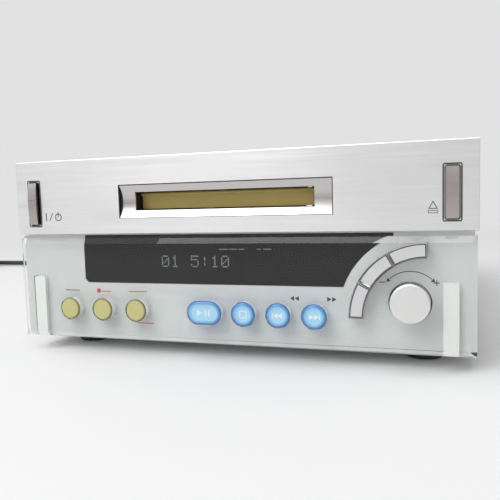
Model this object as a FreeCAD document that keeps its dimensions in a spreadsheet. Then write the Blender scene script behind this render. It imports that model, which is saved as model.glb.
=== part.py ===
import FreeCAD, Part
import math
import os
import Sketcher
from FreeCAD import Placement, Rotation, Vector

# Minidisc deck, in millimetres. X runs to the right, Y into the deck and Z up, seen from the front.
# The origin is at the middle of the footprint, on the surface that the feet stand on.

doc = FreeCAD.newDocument("minidisc_deck")
sheet = doc.addObject("Spreadsheet::Sheet", "dims")

driving = {
    "deckWidth": 190.0,
    "faceY": -129.0,
    "rearY": 125.0,
    "footHeight": 7.0,
    "slabWidth": 188.8,
    "slabHeight": 43.0,
    "slabThick": 6.0,
    "bevelSize": 2.3,
    "fasciaHeight": 31.6,
    "fasciaGap": 1.7,
    "fasciaSetback": 2.0,
    "fasciaWall": 2.4,
    "panelThick": 2.4,
    "metalThick": 1.0,
    "bezelWidth": 88.6,
    "bezelHeight": 13.2,
    "bezelRise": 6.7,
    "bezelSag": 1.5,
    "slotWidth": 75.0,
    "slotHeight": 7.6,
    "doorThick": 1.0,
    "sideKeyWidth": 5.5,
    "sideKeyHeight": 19.1,
    "sideKeyRise": 3.8,
    "sideKeyInset": 8.9,
    "keyRowDrop": 30.1,
    "blueKeyRadius": 4.7,
    "blueKeyPitch": 14.05,
    "blueKeyFirst": 9.0,
    "pillX": -7.4,
    "pillStraight": 5.0,
    "roundKeyRadius": 4.55,
    "roundKeyPitch": 15.8,
    "roundKeyFirst": -37.9,
    "keyGap": 0.25,
    "knobX": 71.9,
    "knobDrop": 23.8,
    "knobRadius": 7.1,
    "arcX": 77.6,
    "arcDrop": 29.9,
    "arcInner": 22.3,
    "arcOuter": 27.4,
    "windowRadius": 31.7,
    "windowLeft": -63.5,
    "windowDrop": 19.2,
    "postWidth": 5.2,
    "postHeight": 26.4,
    "postX": 85.8,
    "mechWidth": 92.0,
    "mechY": -111.0,
    "mechLength": 111.0,
    "mechFloorZ": 46.0,
    "discY": -70.0,
    "discSize": 72.0,
    "loadTravel": 20.0,
    "holderDrop": 7.0,
    "gearModule": 0.8,
    "gearTeeth": 14.0,
    "pickupTravel": 14.0,
    "cordDiameter": 4.5,
}
for row, (name, value) in enumerate(driving.items(), start=1):
    sheet.set("A%d" % row, name)
    sheet.set("B%d" % row, str(value))
    sheet.setAlias("B%d" % row, name)
doc.recompute()


class Size:
    """A length that keeps its value and the sheet expression it comes from."""

    def __init__(self, text, value):
        self.text = text
        self.value = value

    def __add__(self, other):
        other = size(other)
        return Size("(%s + %s)" % (self.text, other.text), self.value + other.value)

    def __sub__(self, other):
        other = size(other)
        return Size("(%s - %s)" % (self.text, other.text), self.value - other.value)

    def __mul__(self, other):
        other = size(other)
        return Size("(%s * %s)" % (self.text, other.text), self.value * other.value)

    def __truediv__(self, other):
        other = size(other)
        return Size("(%s / %s)" % (self.text, other.text), self.value / other.value)

    def __radd__(self, other):
        return size(other) + self

    def __rsub__(self, other):
        return size(other) - self

    def __rmul__(self, other):
        return size(other) * self

    def __neg__(self):
        return size(0) - self


def size(number):
    return number if isinstance(number, Size) else Size(repr(float(number)), float(number))


def dim(name):
    return Size("dims." + name, float(sheet.get(name)))


subParts = []


def newBody(label):
    body = doc.addObject("PartDesign::Body", label)
    body.Label = label
    subParts.append(body)
    return body


def newSketch(body, name, plane, at):
    """A sketch parallel to one of the body's origin planes, at a distance along +X, +Y or +Z."""
    sketch = body.newObject("Sketcher::SketchObject", name)
    flat = [f for f in body.Origin.OriginFeatures if f.Role == plane + "_Plane"][0]
    sketch.AttachmentSupport = [(flat, "")]
    sketch.MapMode = "FlatFace"
    place = -size(at) if plane == "XZ" else size(at)
    sketch.setExpression("AttachmentOffset.Base.z", place.text)
    return sketch


def pin(sketch, kind, geometry, point, length):
    """Fixes a point of the sketch at a bound distance from the sketch's origin."""
    index = sketch.addConstraint(Sketcher.Constraint(kind, -1, 1, geometry, point, length.value))
    sketch.setExpression("Constraints[%d]" % index, length.text)


def rect(sketch, left, low, width, height):
    left, low, width, height = size(left), size(low), size(width), size(height)
    right, top = left + width, low + height
    corners = [(left, low), (right, low), (right, top), (left, top)]
    points = [Vector(x.value, y.value, 0) for x, y in corners]
    sides = [Part.LineSegment(points[i], points[(i + 1) % 4]) for i in range(4)]
    first = sketch.addGeometry(sides, False)[0]
    for i in range(4):
        sketch.addConstraint(Sketcher.Constraint("Coincident", first + i, 2, first + (i + 1) % 4, 1))
        sketch.addConstraint(Sketcher.Constraint("Vertical" if i % 2 else "Horizontal", first + i))
    pin(sketch, "DistanceX", first, 1, left)
    pin(sketch, "DistanceY", first, 1, low)
    pin(sketch, "DistanceX", first + 1, 2, right)
    pin(sketch, "DistanceY", first + 1, 2, top)


def circle(sketch, x, y, radius):
    x, y, radius = size(x), size(y), size(radius)
    shape = Part.Circle(Vector(x.value, y.value, 0), Vector(0, 0, 1), radius.value)
    index = sketch.addGeometry(shape, False)
    at = sketch.addConstraint(Sketcher.Constraint("Radius", index, radius.value))
    sketch.setExpression("Constraints[%d]" % at, radius.text)
    pin(sketch, "DistanceX", index, 3, x)
    pin(sketch, "DistanceY", index, 3, y)


def pill(sketch, x, y, straight, radius):
    """A round-ended outline, lying along the sketch's first axis."""
    x, y, straight, radius = size(x), size(y), size(straight), size(radius)
    left, right = x - straight / 2, x + straight / 2
    low, top = y - radius, y + radius
    ends = [Vector(left.value, y.value, 0), Vector(right.value, y.value, 0)]
    up = Vector(0, 0, 1)
    half = math.pi / 2
    outline = [
        Part.LineSegment(Vector(left.value, low.value, 0), Vector(right.value, low.value, 0)),
        Part.ArcOfCircle(Part.Circle(ends[1], up, radius.value), -half, half),
        Part.LineSegment(Vector(right.value, top.value, 0), Vector(left.value, top.value, 0)),
        Part.ArcOfCircle(Part.Circle(ends[0], up, radius.value), half, 3 * half),
    ]
    first = sketch.addGeometry(outline, False)[0]
    for i in range(4):
        sketch.addConstraint(Sketcher.Constraint("Coincident", first + i, 2, first + (i + 1) % 4, 1))
    pin(sketch, "DistanceX", first, 1, left)
    pin(sketch, "DistanceY", first, 1, low)
    pin(sketch, "DistanceX", first, 2, right)
    pin(sketch, "DistanceY", first, 2, low)
    pin(sketch, "DistanceX", first + 2, 1, right)
    pin(sketch, "DistanceY", first + 2, 1, top)
    pin(sketch, "DistanceX", first + 2, 2, left)
    pin(sketch, "DistanceY", first + 2, 2, top)


def outline(sketch, corners):
    """A closed outline of straight sides through bound corner points."""
    corners = [(size(x), size(y)) for x, y in corners]
    points = [Vector(x.value, y.value, 0) for x, y in corners]
    count = len(points)
    sides = [Part.LineSegment(points[i], points[(i + 1) % count]) for i in range(count)]
    first = sketch.addGeometry(sides, False)[0]
    for i in range(count):
        sketch.addConstraint(Sketcher.Constraint("Coincident", first + i, 2, first + (i + 1) % count, 1))
        pin(sketch, "DistanceX", first + i, 1, corners[i][0])
        pin(sketch, "DistanceY", first + i, 1, corners[i][1])


def extrude(body, name, plane, at, length, draw, cut=False):
    """Pads or pockets what draw puts in a sketch, from its plane towards +X, +Y or +Z."""
    sketch = newSketch(body, name + "Sketch", plane, at)
    draw(sketch)
    before = body.Shape.Volume if cut else 0.0
    feature = body.newObject("PartDesign::Pocket" if cut else "PartDesign::Pad", name)
    feature.Profile = sketch
    feature.setExpression("Length", size(length).text)
    feature.Reversed = (plane == "XZ") != cut
    doc.recompute()
    if cut and body.Shape.Volume > before - 1e-6:
        raise RuntimeError(name + " cuts nothing")
    return feature


def edgesWhere(feature, test):
    """Names of the straight or round edges whose end points and middle pass a test."""
    found = []
    for number, edge in enumerate(feature.Shape.Edges, start=1):
        middle = edge.valueAt((edge.FirstParameter + edge.LastParameter) / 2)
        if test(edge, middle):
            found.append("Edge%d" % number)
    return found


def dress(body, kind, name, base, radius, test):
    """A fillet or chamfer on the edges of base that pass a test."""
    feature = body.newObject("PartDesign::" + kind, name)
    feature.Base = (base, edgesWhere(base, test))
    feature.setExpression("Radius" if kind == "Fillet" else "Size", size(radius).text)
    doc.recompute()
    return feature


def along(edge, axis):
    ends = edge.Vertexes
    if len(ends) < 2:
        return False
    way = ends[1].Point - ends[0].Point
    return way.Length > 1e-6 and abs(abs(way.normalize().dot(axis)) - 1) < 1e-6


def repeat(body, name, feature, plane, axis, span, count):
    """Copies a feature in a straight row along a sketch axis."""
    pattern = body.newObject("PartDesign::LinearPattern", name)
    pattern.Originals = [feature]
    pattern.Direction = (feature.Profile[0], [axis])
    pattern.setExpression("Length", size(span).text)
    pattern.Occurrences = count
    body.Tip = pattern
    doc.recompute()
    return pattern


X, Y, Z = Vector(1, 0, 0), Vector(0, 1, 0), Vector(0, 0, 1)

# Levels and depths that several pieces share
deckWidth = dim("deckWidth")
faceY = dim("faceY")
rearY = dim("rearY")
footHeight = dim("footHeight")
metal = dim("metalThick")
slabTop = footHeight + dim("slabHeight")
slabBack = faceY + dim("slabThick")
panelBack = slabBack + dim("panelThick")
fasciaLow = slabTop + dim("fasciaGap")
fasciaTop = fasciaLow + dim("fasciaHeight")
fasciaFace = faceY + dim("fasciaSetback")
keyRow = slabTop - dim("keyRowDrop")
knobZ = slabTop - dim("knobDrop")
arcZ = slabTop - dim("arcDrop")
bezelLow = fasciaLow + dim("bezelRise")
bezelMid = bezelLow + dim("bezelHeight") / 2
sideKeyLow = fasciaLow + dim("sideKeyRise")
sideKeyX = deckWidth / 2 - dim("sideKeyInset")
keyGap = dim("keyGap")
mechFloor = dim("mechFloorZ")
discY = dim("discY")
switchY = panelBack + 4.0
boardY = switchY + 3.0
rodZ = mechFloor + 3.4
armX = 17.0
armY = discY + dim("discSize") / 2 + 3.5
armZ = bezelMid + 6.8

blueKeys = {
    "stop_key": dim("blueKeyFirst"),
    "rewind_key": dim("blueKeyFirst") + dim("blueKeyPitch"),
    "forward_key": dim("blueKeyFirst") + dim("blueKeyPitch") * 2,
}
roundKeys = {
    "sync_key": dim("roundKeyFirst"),
    "record_key": dim("roundKeyFirst") - dim("roundKeyPitch"),
    "display_key": dim("roundKeyFirst") - dim("roundKeyPitch") * 2,
}
arcKeys = {"clear_key": (90.0, 119.5), "enter_key": (120.5, 150.5), "menu_key": (151.5, 180.0)}


def arcBand(sketch, inner, outer, start, end, centreX, centreZ):
    """A band between two arcs about one centre, closed by straight ends; angles in degrees."""
    centre = Vector(centreX.value, centreZ.value, 0)
    a, b = math.radians(start), math.radians(end)
    at = lambda radius, angle: centre + Vector(math.cos(angle), math.sin(angle), 0) * radius
    band = [
        Part.ArcOfCircle(Part.Circle(centre, Z, outer.value), a, b),
        Part.LineSegment(at(outer.value, b), at(inner.value, b)),
        Part.ArcOfCircle(Part.Circle(centre, Z, inner.value), a, b),
        Part.LineSegment(at(inner.value, a), at(outer.value, a)),
    ]
    first = sketch.addGeometry(band, False)[0]
    joins = [(0, 2, 1, 1), (1, 2, 2, 2), (2, 1, 3, 1), (3, 2, 0, 1)]
    for i, ip, j, jp in joins:
        sketch.addConstraint(Sketcher.Constraint("Coincident", first + i, ip, first + j, jp))
    for i, radius in ((0, outer), (2, inner)):
        at = sketch.addConstraint(Sketcher.Constraint("Radius", first + i, radius.value))
        sketch.setExpression("Constraints[%d]" % at, radius.text)
        pin(sketch, "DistanceX", first + i, 3, centreX)
        pin(sketch, "DistanceY", first + i, 3, centreZ)


def frontHoles(sketch, extra):
    """The key and knob holes that the slab and the panel share, each wider than its key by extra."""
    pill(sketch, dim("pillX"), keyRow, dim("pillStraight"), dim("blueKeyRadius") + extra)
    for x in blueKeys.values():
        circle(sketch, x, keyRow, dim("blueKeyRadius") + extra)
    for x in roundKeys.values():
        circle(sketch, x, keyRow, dim("roundKeyRadius") + extra)
    circle(sketch, dim("knobX"), knobZ, dim("knobRadius") + extra * 2)
    arcBand(
        sketch, dim("arcInner") - extra, dim("arcOuter") + extra, 89.4, 180.6, dim("arcX"), arcZ
    )


def acrylicFront():
    """Clear slab: bevelled front edges, a tongue that tucks up behind the fascia, pockets for posts."""
    body = newBody("acrylic_front")
    width = dim("slabWidth")
    slab = extrude(
        body, "Slab", "XZ", faceY, dim("slabThick"),
        lambda s: rect(s, -width / 2, footHeight, width, dim("slabHeight")),
    )
    front = faceY.value
    bevel = dress(
        body, "Chamfer", "Bevel", slab, dim("bevelSize"),
        lambda e, m: abs(m.y - front) < 1e-6,
    )
    body.Tip = bevel
    inset = 1.8
    top = slabTop + dim("fasciaGap") - 0.4
    half = width / 2
    extrude(
        body, "Tongue", "XZ", faceY + dim("bevelSize") + 0.2, dim("slabThick") - dim("bevelSize") - 0.2,
        lambda s: outline(s, [
            (-half, slabTop - 0.5), (half, slabTop - 0.5), (half - inset, top), (-half + inset, top)
        ]),
    )
    extrude(
        body, "KeyHoles", "XZ", faceY - 1, dim("slabThick") + 2,
        lambda s: frontHoles(s, keyGap), cut=True,
    )
    postGap = 0.3
    pocketWidth = dim("postWidth") + postGap * 2

    def pockets(sketch):
        for side in (-1, 1):
            left = dim("postX") * side - pocketWidth / 2
            rect(sketch, left, footHeight - 1, pocketWidth, dim("postHeight") + 1 + postGap)

    thick = dim("slabThick")
    tip = extrude(body, "PostPockets", "XZ", faceY + thick / 2, thick, pockets, cut=True)
    knobRim = dim("knobRadius").value + 2 * keyGap.value
    rim = dress(
        body, "Chamfer", "KnobRim", tip, 0.8,
        lambda e, m: abs(m.y - front) < 1e-6 and len(e.Vertexes) == 1
        and abs(e.Curve.Radius - knobRim) < 1e-3,
    )
    body.Tip = rim


def posts():
    """White blocks in the back of the slab, which carry it on the panel."""
    for label, side in (("left_post", -1), ("right_post", 1)):
        body = newBody(label)
        left = dim("postX") * side - dim("postWidth") / 2
        block = extrude(
            body, "Block", "XZ", faceY + dim("slabThick") / 2 + 0.3, dim("slabThick") / 2 - 0.3,
            lambda s: rect(s, left, footHeight + 0.4, dim("postWidth"), dim("postHeight") - 0.6),
        )
        edge = dress(
            body, "Fillet", "Corners", block, 0.5,
            lambda e, m: along(e, Y) and m.z > footHeight.value + 5,
        )
        body.Tip = edge


def windowOutline(sketch, grow):
    """Outline of the display window: straight left and bottom, right end round the arc keys."""
    centre = Vector(dim("arcX").value, arcZ.value, 0)
    radius = dim("windowRadius").value - grow
    low = slabTop.value - dim("windowDrop").value - grow
    top = fasciaLow.value - 0.4 + grow
    left = dim("windowLeft").value - grow
    right = 66.0 + grow
    chamfer = 1.5
    angleOf = lambda x, z: math.atan2(z - centre.y, x - centre.x)
    lowX = centre.x - math.sqrt(radius ** 2 - (low - centre.y) ** 2)
    highZ = centre.y + math.sqrt(radius ** 2 - (right - centre.x) ** 2)
    points = [
        Vector(right, highZ, 0), Vector(right, top, 0), Vector(left, top, 0),
        Vector(left, low + chamfer, 0), Vector(left + chamfer, low, 0), Vector(lowX, low, 0),
    ]
    sides = [Part.LineSegment(points[i], points[i + 1]) for i in range(5)]
    ring = Part.Circle(centre, Z, radius)
    sides.append(Part.ArcOfCircle(ring, angleOf(right, highZ), angleOf(lowX, low)))
    first = sketch.addGeometry(sides, False)[0]
    for i in range(4):
        sketch.addConstraint(Sketcher.Constraint("Coincident", first + i, 2, first + i + 1, 1))
    sketch.addConstraint(Sketcher.Constraint("Coincident", first + 4, 2, first + 5, 2))
    sketch.addConstraint(Sketcher.Constraint("Coincident", first + 5, 1, first, 1))
    for i in range(5):
        sketch.addConstraint(Sketcher.Constraint("Block", first + i))


def displayWindow():
    """Smoked window, seated in the panel's opening."""
    body = newBody("display_window")
    extrude(body, "Pane", "XZ", slabBack, dim("panelThick") - 0.4, lambda s: windowOutline(s, -0.15))


def slotOpening(sketch, extra):
    width, height = dim("bezelWidth") + extra * 2, dim("bezelHeight") + extra * 2
    rect(sketch, -width / 2, bezelLow - extra, width, height)


def sideKeyOpenings(sketch, extra):
    width, height = dim("sideKeyWidth") + extra * 2, dim("sideKeyHeight") + extra * 2
    for side in (-1, 1):
        rect(sketch, sideKeyX * side - width / 2, sideKeyLow - extra, width, height)


def lowerPanel():
    """Moulded panel behind the slab and the fascia, with stiffening ribs and board bosses."""
    body = newBody("lower_panel")
    half = dim("slabWidth") / 2 - 0.8
    extrude(
        body, "Plate", "XZ", slabBack, dim("panelThick"),
        lambda s: rect(s, -half, footHeight + 1.4, half * 2, fasciaTop - footHeight - 3.2),
    )
    wall = 1.6

    def frameWall(sketch):
        outer = half - 1.1
        inner = outer - wall
        rect(sketch, -outer, footHeight + 1.4, outer * 2, fasciaTop - footHeight - 3.2)
        rect(sketch, -inner, footHeight + 1.4 + wall, inner * 2, fasciaTop - footHeight - 3.2 - wall * 2)

    extrude(body, "Rim", "XZ", panelBack - 0.1, 5.0, frameWall)
    extrude(body, "KeyHoles", "XZ", slabBack - 1, 12.0, lambda s: frontHoles(s, keyGap), cut=True)
    extrude(body, "WindowHole", "XZ", slabBack - 1, 12.0, lambda s: windowOutline(s, 0.0), cut=True)
    extrude(body, "SlotHole", "XZ", slabBack - 1, 12.0, lambda s: slotOpening(s, -1.0), cut=True)
    extrude(body, "SideKeyHoles", "XZ", slabBack - 1, 12.0, lambda s: sideKeyOpenings(s, 0.0), cut=True)

    def bosses(sketch):
        for x in (-78.0, -20.0, 34.0):
            circle(sketch, x, footHeight + 5.5, 2.2)
        for side in (-1, 1):
            for rise in (5.5, 13.5):
                circle(sketch, 81.4 * side, sideKeyLow + rise, 1.5)

    extrude(body, "BoardBosses", "XZ", panelBack - 0.1, boardY - panelBack + 0.1, bosses)


def upperFascia():
    """Brushed fascia: a front wall with returned edges on all four sides."""
    body = newBody("upper_fascia")
    depth = slabBack - fasciaFace
    half = deckWidth / 2
    block = extrude(
        body, "Block", "XZ", fasciaFace, depth,
        lambda s: rect(s, -half, fasciaLow, deckWidth, dim("fasciaHeight")),
    )
    front = fasciaFace.value
    eased = dress(body, "Fillet", "FrontEdge", block, 0.35, lambda e, m: abs(m.y - front) < 1e-6)
    body.Tip = eased
    wall = 1.8
    inner = half - wall
    extrude(
        body, "Hollow", "XZ", fasciaFace + dim("fasciaWall"), depth,
        lambda s: rect(s, -inner, fasciaLow + wall, inner * 2, dim("fasciaHeight") - wall * 2), cut=True,
    )
    extrude(body, "SlotHole", "XZ", fasciaFace - 1, 5.0, lambda s: slotOpening(s, 0.25), cut=True)
    tip = extrude(
        body, "SideKeyHoles", "XZ", fasciaFace - 1, 5.0, lambda s: sideKeyOpenings(s, 0.0), cut=True
    )
    edgeX = sideKeyX.value - dim("sideKeyWidth").value / 2 - 0.5
    corners = dress(
        body, "Fillet", "HoleCorners", tip, 1.0,
        lambda e, m: along(e, Y) and edgeX < abs(m.x) < half.value - 4.0 and e.Length < 3.0,
    )
    body.Tip = corners


def slotBezel():
    """Insert round the slot: concave face, through throat, and two ears that carry the door."""
    body = newBody("slot_bezel")
    width, height = dim("bezelWidth"), dim("bezelHeight")
    face = fasciaFace + 0.1
    extrude(
        body, "Frame", "XZ", face, slabBack - face,
        lambda s: rect(s, -width / 2, bezelLow, width, height),
    )
    neck = dim("bezelHeight") - 2.4
    extrude(
        body, "Neck", "XZ", slabBack - 0.1, dim("panelThick") + 2.6,
        lambda s: rect(s, -width / 2 + 1.2, bezelLow + 1.2, width - 2.4, neck),
    )
    sag = dim("bezelSag")
    chord = height / 2
    radius = (chord * chord + sag * sag) / (sag * 2)
    extrude(
        body, "HollowFace", "YZ", -width / 2 - 1, width + 2,
        lambda s: circle(s, face + sag - radius, bezelMid, radius), cut=True,
    )
    slot, gap = dim("slotWidth"), dim("slotHeight")
    extrude(
        body, "Throat", "XZ", face - 1, 20.0,
        lambda s: rect(s, -slot / 2, bezelMid - gap / 2, slot, gap), cut=True,
    )
    hingeY = doorY()
    hingeZ = doorZ()

    extrude(
        body, "PinHoles", "YZ", -slot / 2 - 1.2, slot + 2.4,
        lambda s: circle(s, hingeY, hingeZ, 0.7), cut=True,
    )


def doorY():
    return panelBack + 0.9


def doorZ():
    return bezelMid + dim("slotHeight") / 2 - 1.1


def slotDoor():
    """Door behind the bezel, with a pin at each end of its top edge."""
    body = newBody("slot_door")
    width = dim("slotWidth") - 1.0
    low = bezelMid - dim("slotHeight") / 2 + 0.5
    extrude(
        body, "Plate", "XZ", doorY() - dim("doorThick") / 2, dim("doorThick"),
        lambda s: rect(s, -width / 2, low, width, doorZ() - low),
    )
    extrude(
        body, "Barrel", "YZ", -width / 2, width,
        lambda s: circle(s, doorY(), doorZ(), 0.85),
    )
    reach = dim("slotWidth") + 1.6
    extrude(
        body, "Pins", "YZ", -reach / 2, reach,
        lambda s: circle(s, doorY(), doorZ(), 0.64),
    )


def sideKeys():
    """Narrow metal buttons: face bowed along its height, a flange behind and a stem to the switch."""
    for label, side in (("power_button", -1), ("eject_button", 1)):
        body = newBody(label)
        width = dim("sideKeyWidth") - 1.4
        height = dim("sideKeyHeight") - 1.2
        left = sideKeyX * side - width / 2
        low = sideKeyLow + 0.6
        proud = 1.9
        extrude(
            body, "Cap", "XZ", fasciaFace - proud, dim("fasciaWall") + proud + 0.7,
            lambda s: rect(s, left, low, width, height),
        )
        middle = low + height / 2
        bow = 0.7
        reach = ((height / 2).value ** 2 + bow ** 2) / (2 * bow)
        start = fasciaFace - proud
        sketch = newSketch(body, "BowSketch", "YZ", left - 1)
        ring = Part.Circle(Vector(start.value + reach, middle.value, 0), Z, reach)
        high, base = middle.value + 11.0, middle.value - 11.0
        x = lambda z: start.value + reach - math.sqrt(reach ** 2 - (z - middle.value) ** 2)
        a = math.atan2(high - middle.value, x(high) - start.value - reach)
        arc = Part.ArcOfCircle(ring, a, 2 * math.pi - a)
        ends = [Vector(x(high), high, 0), Vector(x(base), base, 0)]
        ahead = start.value - 3.0
        points = [ends[0], Vector(ahead, high, 0), Vector(ahead, base, 0), ends[1]]
        edges = [Part.LineSegment(points[i], points[i + 1]) for i in range(3)]
        first = sketch.addGeometry([arc] + edges, False)[0]
        sketch.addConstraint(Sketcher.Constraint("Coincident", first, 1, first + 1, 1))
        sketch.addConstraint(Sketcher.Constraint("Coincident", first + 1, 2, first + 2, 1))
        sketch.addConstraint(Sketcher.Constraint("Coincident", first + 2, 2, first + 3, 1))
        sketch.addConstraint(Sketcher.Constraint("Coincident", first + 3, 2, first, 2))
        bowCut = body.newObject("PartDesign::Pocket", "Bow")
        bowCut.Profile = sketch
        bowCut.setExpression("Length", (width + 2).text)
        bowCut.Reversed = True
        doc.recompute()
        flangeY = fasciaFace + dim("fasciaWall") + 0.1
        extrude(
            body, "Flange", "XZ", flangeY, 0.6,
            lambda s: rect(s, left - 0.9, low - 1.2, width + 1.8, height + 2.4),
        )
        extrude(
            body, "Stem", "XZ", flangeY, switchY - 0.15 - flangeY,
            lambda s: rect(s, sideKeyX * side - 1.2, middle - 2, 2.4, 4.0),
        )


def roundKey(label, x, radius, dish, straight=None):
    """A key with a rounded, dished face, a retaining flange and a stem."""
    body = newBody(label)
    if straight:
        shape = lambda s, r: pill(s, x, keyRow, straight, r)
    else:
        shape = lambda s, r: circle(s, x, keyRow, r)
    proud = 0.3
    length = panelBack - faceY + proud + 0.2
    cap = extrude(body, "Cap", "XZ", faceY - proud, length, lambda s: shape(s, radius))
    front = faceY.value - proud
    cap = dress(body, "Fillet", "Shoulder", cap, 0.9, lambda e, m: abs(m.y - front) < 1e-6)
    body.Tip = cap
    if dish:
        extrude(body, "Dish", "XZ", faceY - proud - 1, 1.25, lambda s: shape(s, radius - 1.7), cut=True)
    extrude(body, "Flange", "XZ", panelBack + 1.2, 0.8, lambda s: shape(s, radius + 0.9))
    extrude(body, "Core", "XZ", panelBack, 1.4, lambda s: shape(s, radius - 0.3))
    extrude(
        body, "Stem", "XZ", panelBack + 1.9, switchY - 0.15 - panelBack - 1.9,
        lambda s: circle(s, x, keyRow, 1.4),
    )


def arcKey(label, start, end):
    """One key of the arc-shaped bank round the knob."""
    body = newBody(label)
    inner, outer = dim("arcInner"), dim("arcOuter")
    cap = extrude(
        body, "Cap", "XZ", faceY + 0.2, panelBack - faceY,
        lambda s: arcBand(s, inner, outer, start, end, dim("arcX"), arcZ),
    )
    front = faceY.value + 0.2
    cap = dress(body, "Fillet", "Shoulder", cap, 0.4, lambda e, m: abs(m.y - front) < 1e-6)
    body.Tip = cap
    extrude(
        body, "Flange", "XZ", panelBack + 1.2, 0.8,
        lambda s: arcBand(s, inner - 0.8, outer + 0.8, start, end, dim("arcX"), arcZ),
    )
    extrude(
        body, "Core", "XZ", panelBack, 1.4,
        lambda s: arcBand(s, inner + 0.2, outer - 0.2, start + 0.2, end - 0.2, dim("arcX"), arcZ),
    )
    middle = math.radians((start + end) / 2)
    centre = (inner + outer) / 2
    extrude(
        body, "Stem", "XZ", panelBack + 1.9, switchY - 0.15 - panelBack - 1.9,
        lambda s: circle(s, dim("arcX") + centre * math.cos(middle), arcZ + centre * math.sin(middle), 1.2),
    )


def jogKnob():
    """Turned knob with an eased rim; its encoder shaft is a piece of its own."""
    radius = dim("knobRadius")
    body = newBody("jog_knob")
    knob = extrude(
        body, "Disc", "XZ", faceY - 2.5, panelBack + 1.0 - faceY + 2.5,
        lambda s: circle(s, dim("knobX"), knobZ, radius),
    )
    front = faceY.value - 2.5
    knob = dress(body, "Fillet", "Rim", knob, 0.7, lambda e, m: abs(m.y - front) < 1e-6)
    body.Tip = knob
    extrude(
        body, "ShaftHole", "XZ", faceY + 2.0, 20.0,
        lambda s: circle(s, dim("knobX"), knobZ, 3.0), cut=True,
    )
    shaft = newBody("encoder_shaft")
    extrude(
        shaft, "Shaft", "XZ", faceY + 2.0, switchY + 5.0 - faceY - 2.0,
        lambda s: circle(s, dim("knobX"), knobZ, 3.0),
    )


def frontBoard():
    """Board behind the panel with the key switches, the display tube and the encoder body."""
    board = newBody("front_circuit_board")
    extrude(
        board, "Board", "XZ", boardY, 1.6,
        lambda s: rect(s, -86.0, footHeight + 3.6, 172.0, 42.5),
    )
    extrude(
        board, "ShaftHole", "XZ", boardY - 1, 5.0, lambda s: circle(s, dim("knobX"), knobZ, 4.0), cut=True
    )

    places = [(dim("pillX"), keyRow)]
    places += [(x, keyRow) for x in blueKeys.values()]
    places += [(x, keyRow) for x in roundKeys.values()]
    mid = (dim("arcInner") + dim("arcOuter")) / 2
    for start, end in arcKeys.values():
        angle = math.radians((start + end) / 2)
        places.append((dim("arcX") + mid * math.cos(angle), arcZ + mid * math.sin(angle)))
    switches = newBody("tact_switches")
    switches.AllowCompound = True
    half = 2.6
    extrude(
        switches, "Cases", "XZ", boardY - 2.0, 2.0,
        lambda s: [rect(s, x - half, z - half, half * 2, half * 2) for x, z in places],
    )
    extrude(
        switches, "Plungers", "XZ", switchY + 0.9, 0.2,
        lambda s: [circle(s, x, z, 1.3) for x, z in places],
    )

    side = newBody("side_switches")
    side.AllowCompound = True
    middle = sideKeyLow + dim("sideKeyHeight") / 2
    each = [sideKeyX * s for s in (-1, 1)]
    extrude(
        side, "Boards", "XZ", boardY, 1.6,
        lambda s: [rect(s, 85.3 * way - 5.7, middle - 8.0, 11.4, 16.0) for way in (-1, 1)],
    )
    extrude(
        side, "Cases", "XZ", boardY - 2.0, 2.1,
        lambda s: [rect(s, x - half, middle - half, half * 2, half * 2) for x in each],
    )

    tube = newBody("display_tube")
    low = slabTop - dim("windowDrop") + 1.0
    glass = extrude(
        tube, "Glass", "XZ", panelBack + 0.8, boardY - panelBack - 0.8,
        lambda s: rect(s, -58.0, low, 98.0, 17.0),
    )
    tube.Tip = dress(
        tube, "Fillet", "Edges", glass, 0.6,
        lambda e, m: abs(m.y - (panelBack.value + 0.8)) < 1e-6,
    )
    encoder = newBody("rotary_encoder")
    extrude(
        encoder, "Case", "XZ", boardY - 2.0, 2.0,
        lambda s: rect(s, dim("knobX") - 6, knobZ - 6, 12.0, 12.0),
    )
    extrude(
        encoder, "ShaftHole", "XZ", boardY - 4.0, 8.0,
        lambda s: circle(s, dim("knobX"), knobZ, 3.05), cut=True,
    )


def screwHoles(body):
    """Clearance holes for the side screws, through both side walls."""
    extrude(
        body, "ScrewHoles", "YZ", -deckWidth / 2 - 5, deckWidth + 10,
        lambda s: [circle(s, y, screwZ, 1.4) for y in screwY], cut=True,
    )


screwY = (-60.0, 60.0)
screwZ = 18.0


def chassis():
    """Folded steel tray: floor, side flanges, vent slots and the stand-offs for the boards."""
    body = newBody("bottom_chassis")
    half = deckWidth / 2 - 2.4
    frontY = panelBack + 5.4
    length = rearY - metal - frontY
    extrude(body, "Floor", "XY", footHeight, metal, lambda s: rect(s, -half, frontY, half * 2, length))

    def flanges(sketch):
        rect(sketch, -half, footHeight, metal, 14.0)
        rect(sketch, half - metal, footHeight, metal, 14.0)

    extrude(body, "Flanges", "XZ", frontY, length, flanges)
    slot = extrude(
        body, "VentSlot", "XY", footHeight - 1, 4.0,
        lambda s: pill(s, -30.0, 0.0, 36.0, 1.6), cut=True,
    )
    repeat(body, "VentSlots", slot, "XY", "V_Axis", 63.0, 8)

    def standoffs(sketch):
        for x in (-28.0, 80.0):
            for y in (-12.0, 106.0):
                circle(sketch, x, y, 3.0)

    extrude(body, "Standoffs", "XY", footHeight + 0.5, 7.5, standoffs)
    screwHoles(body)


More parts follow.
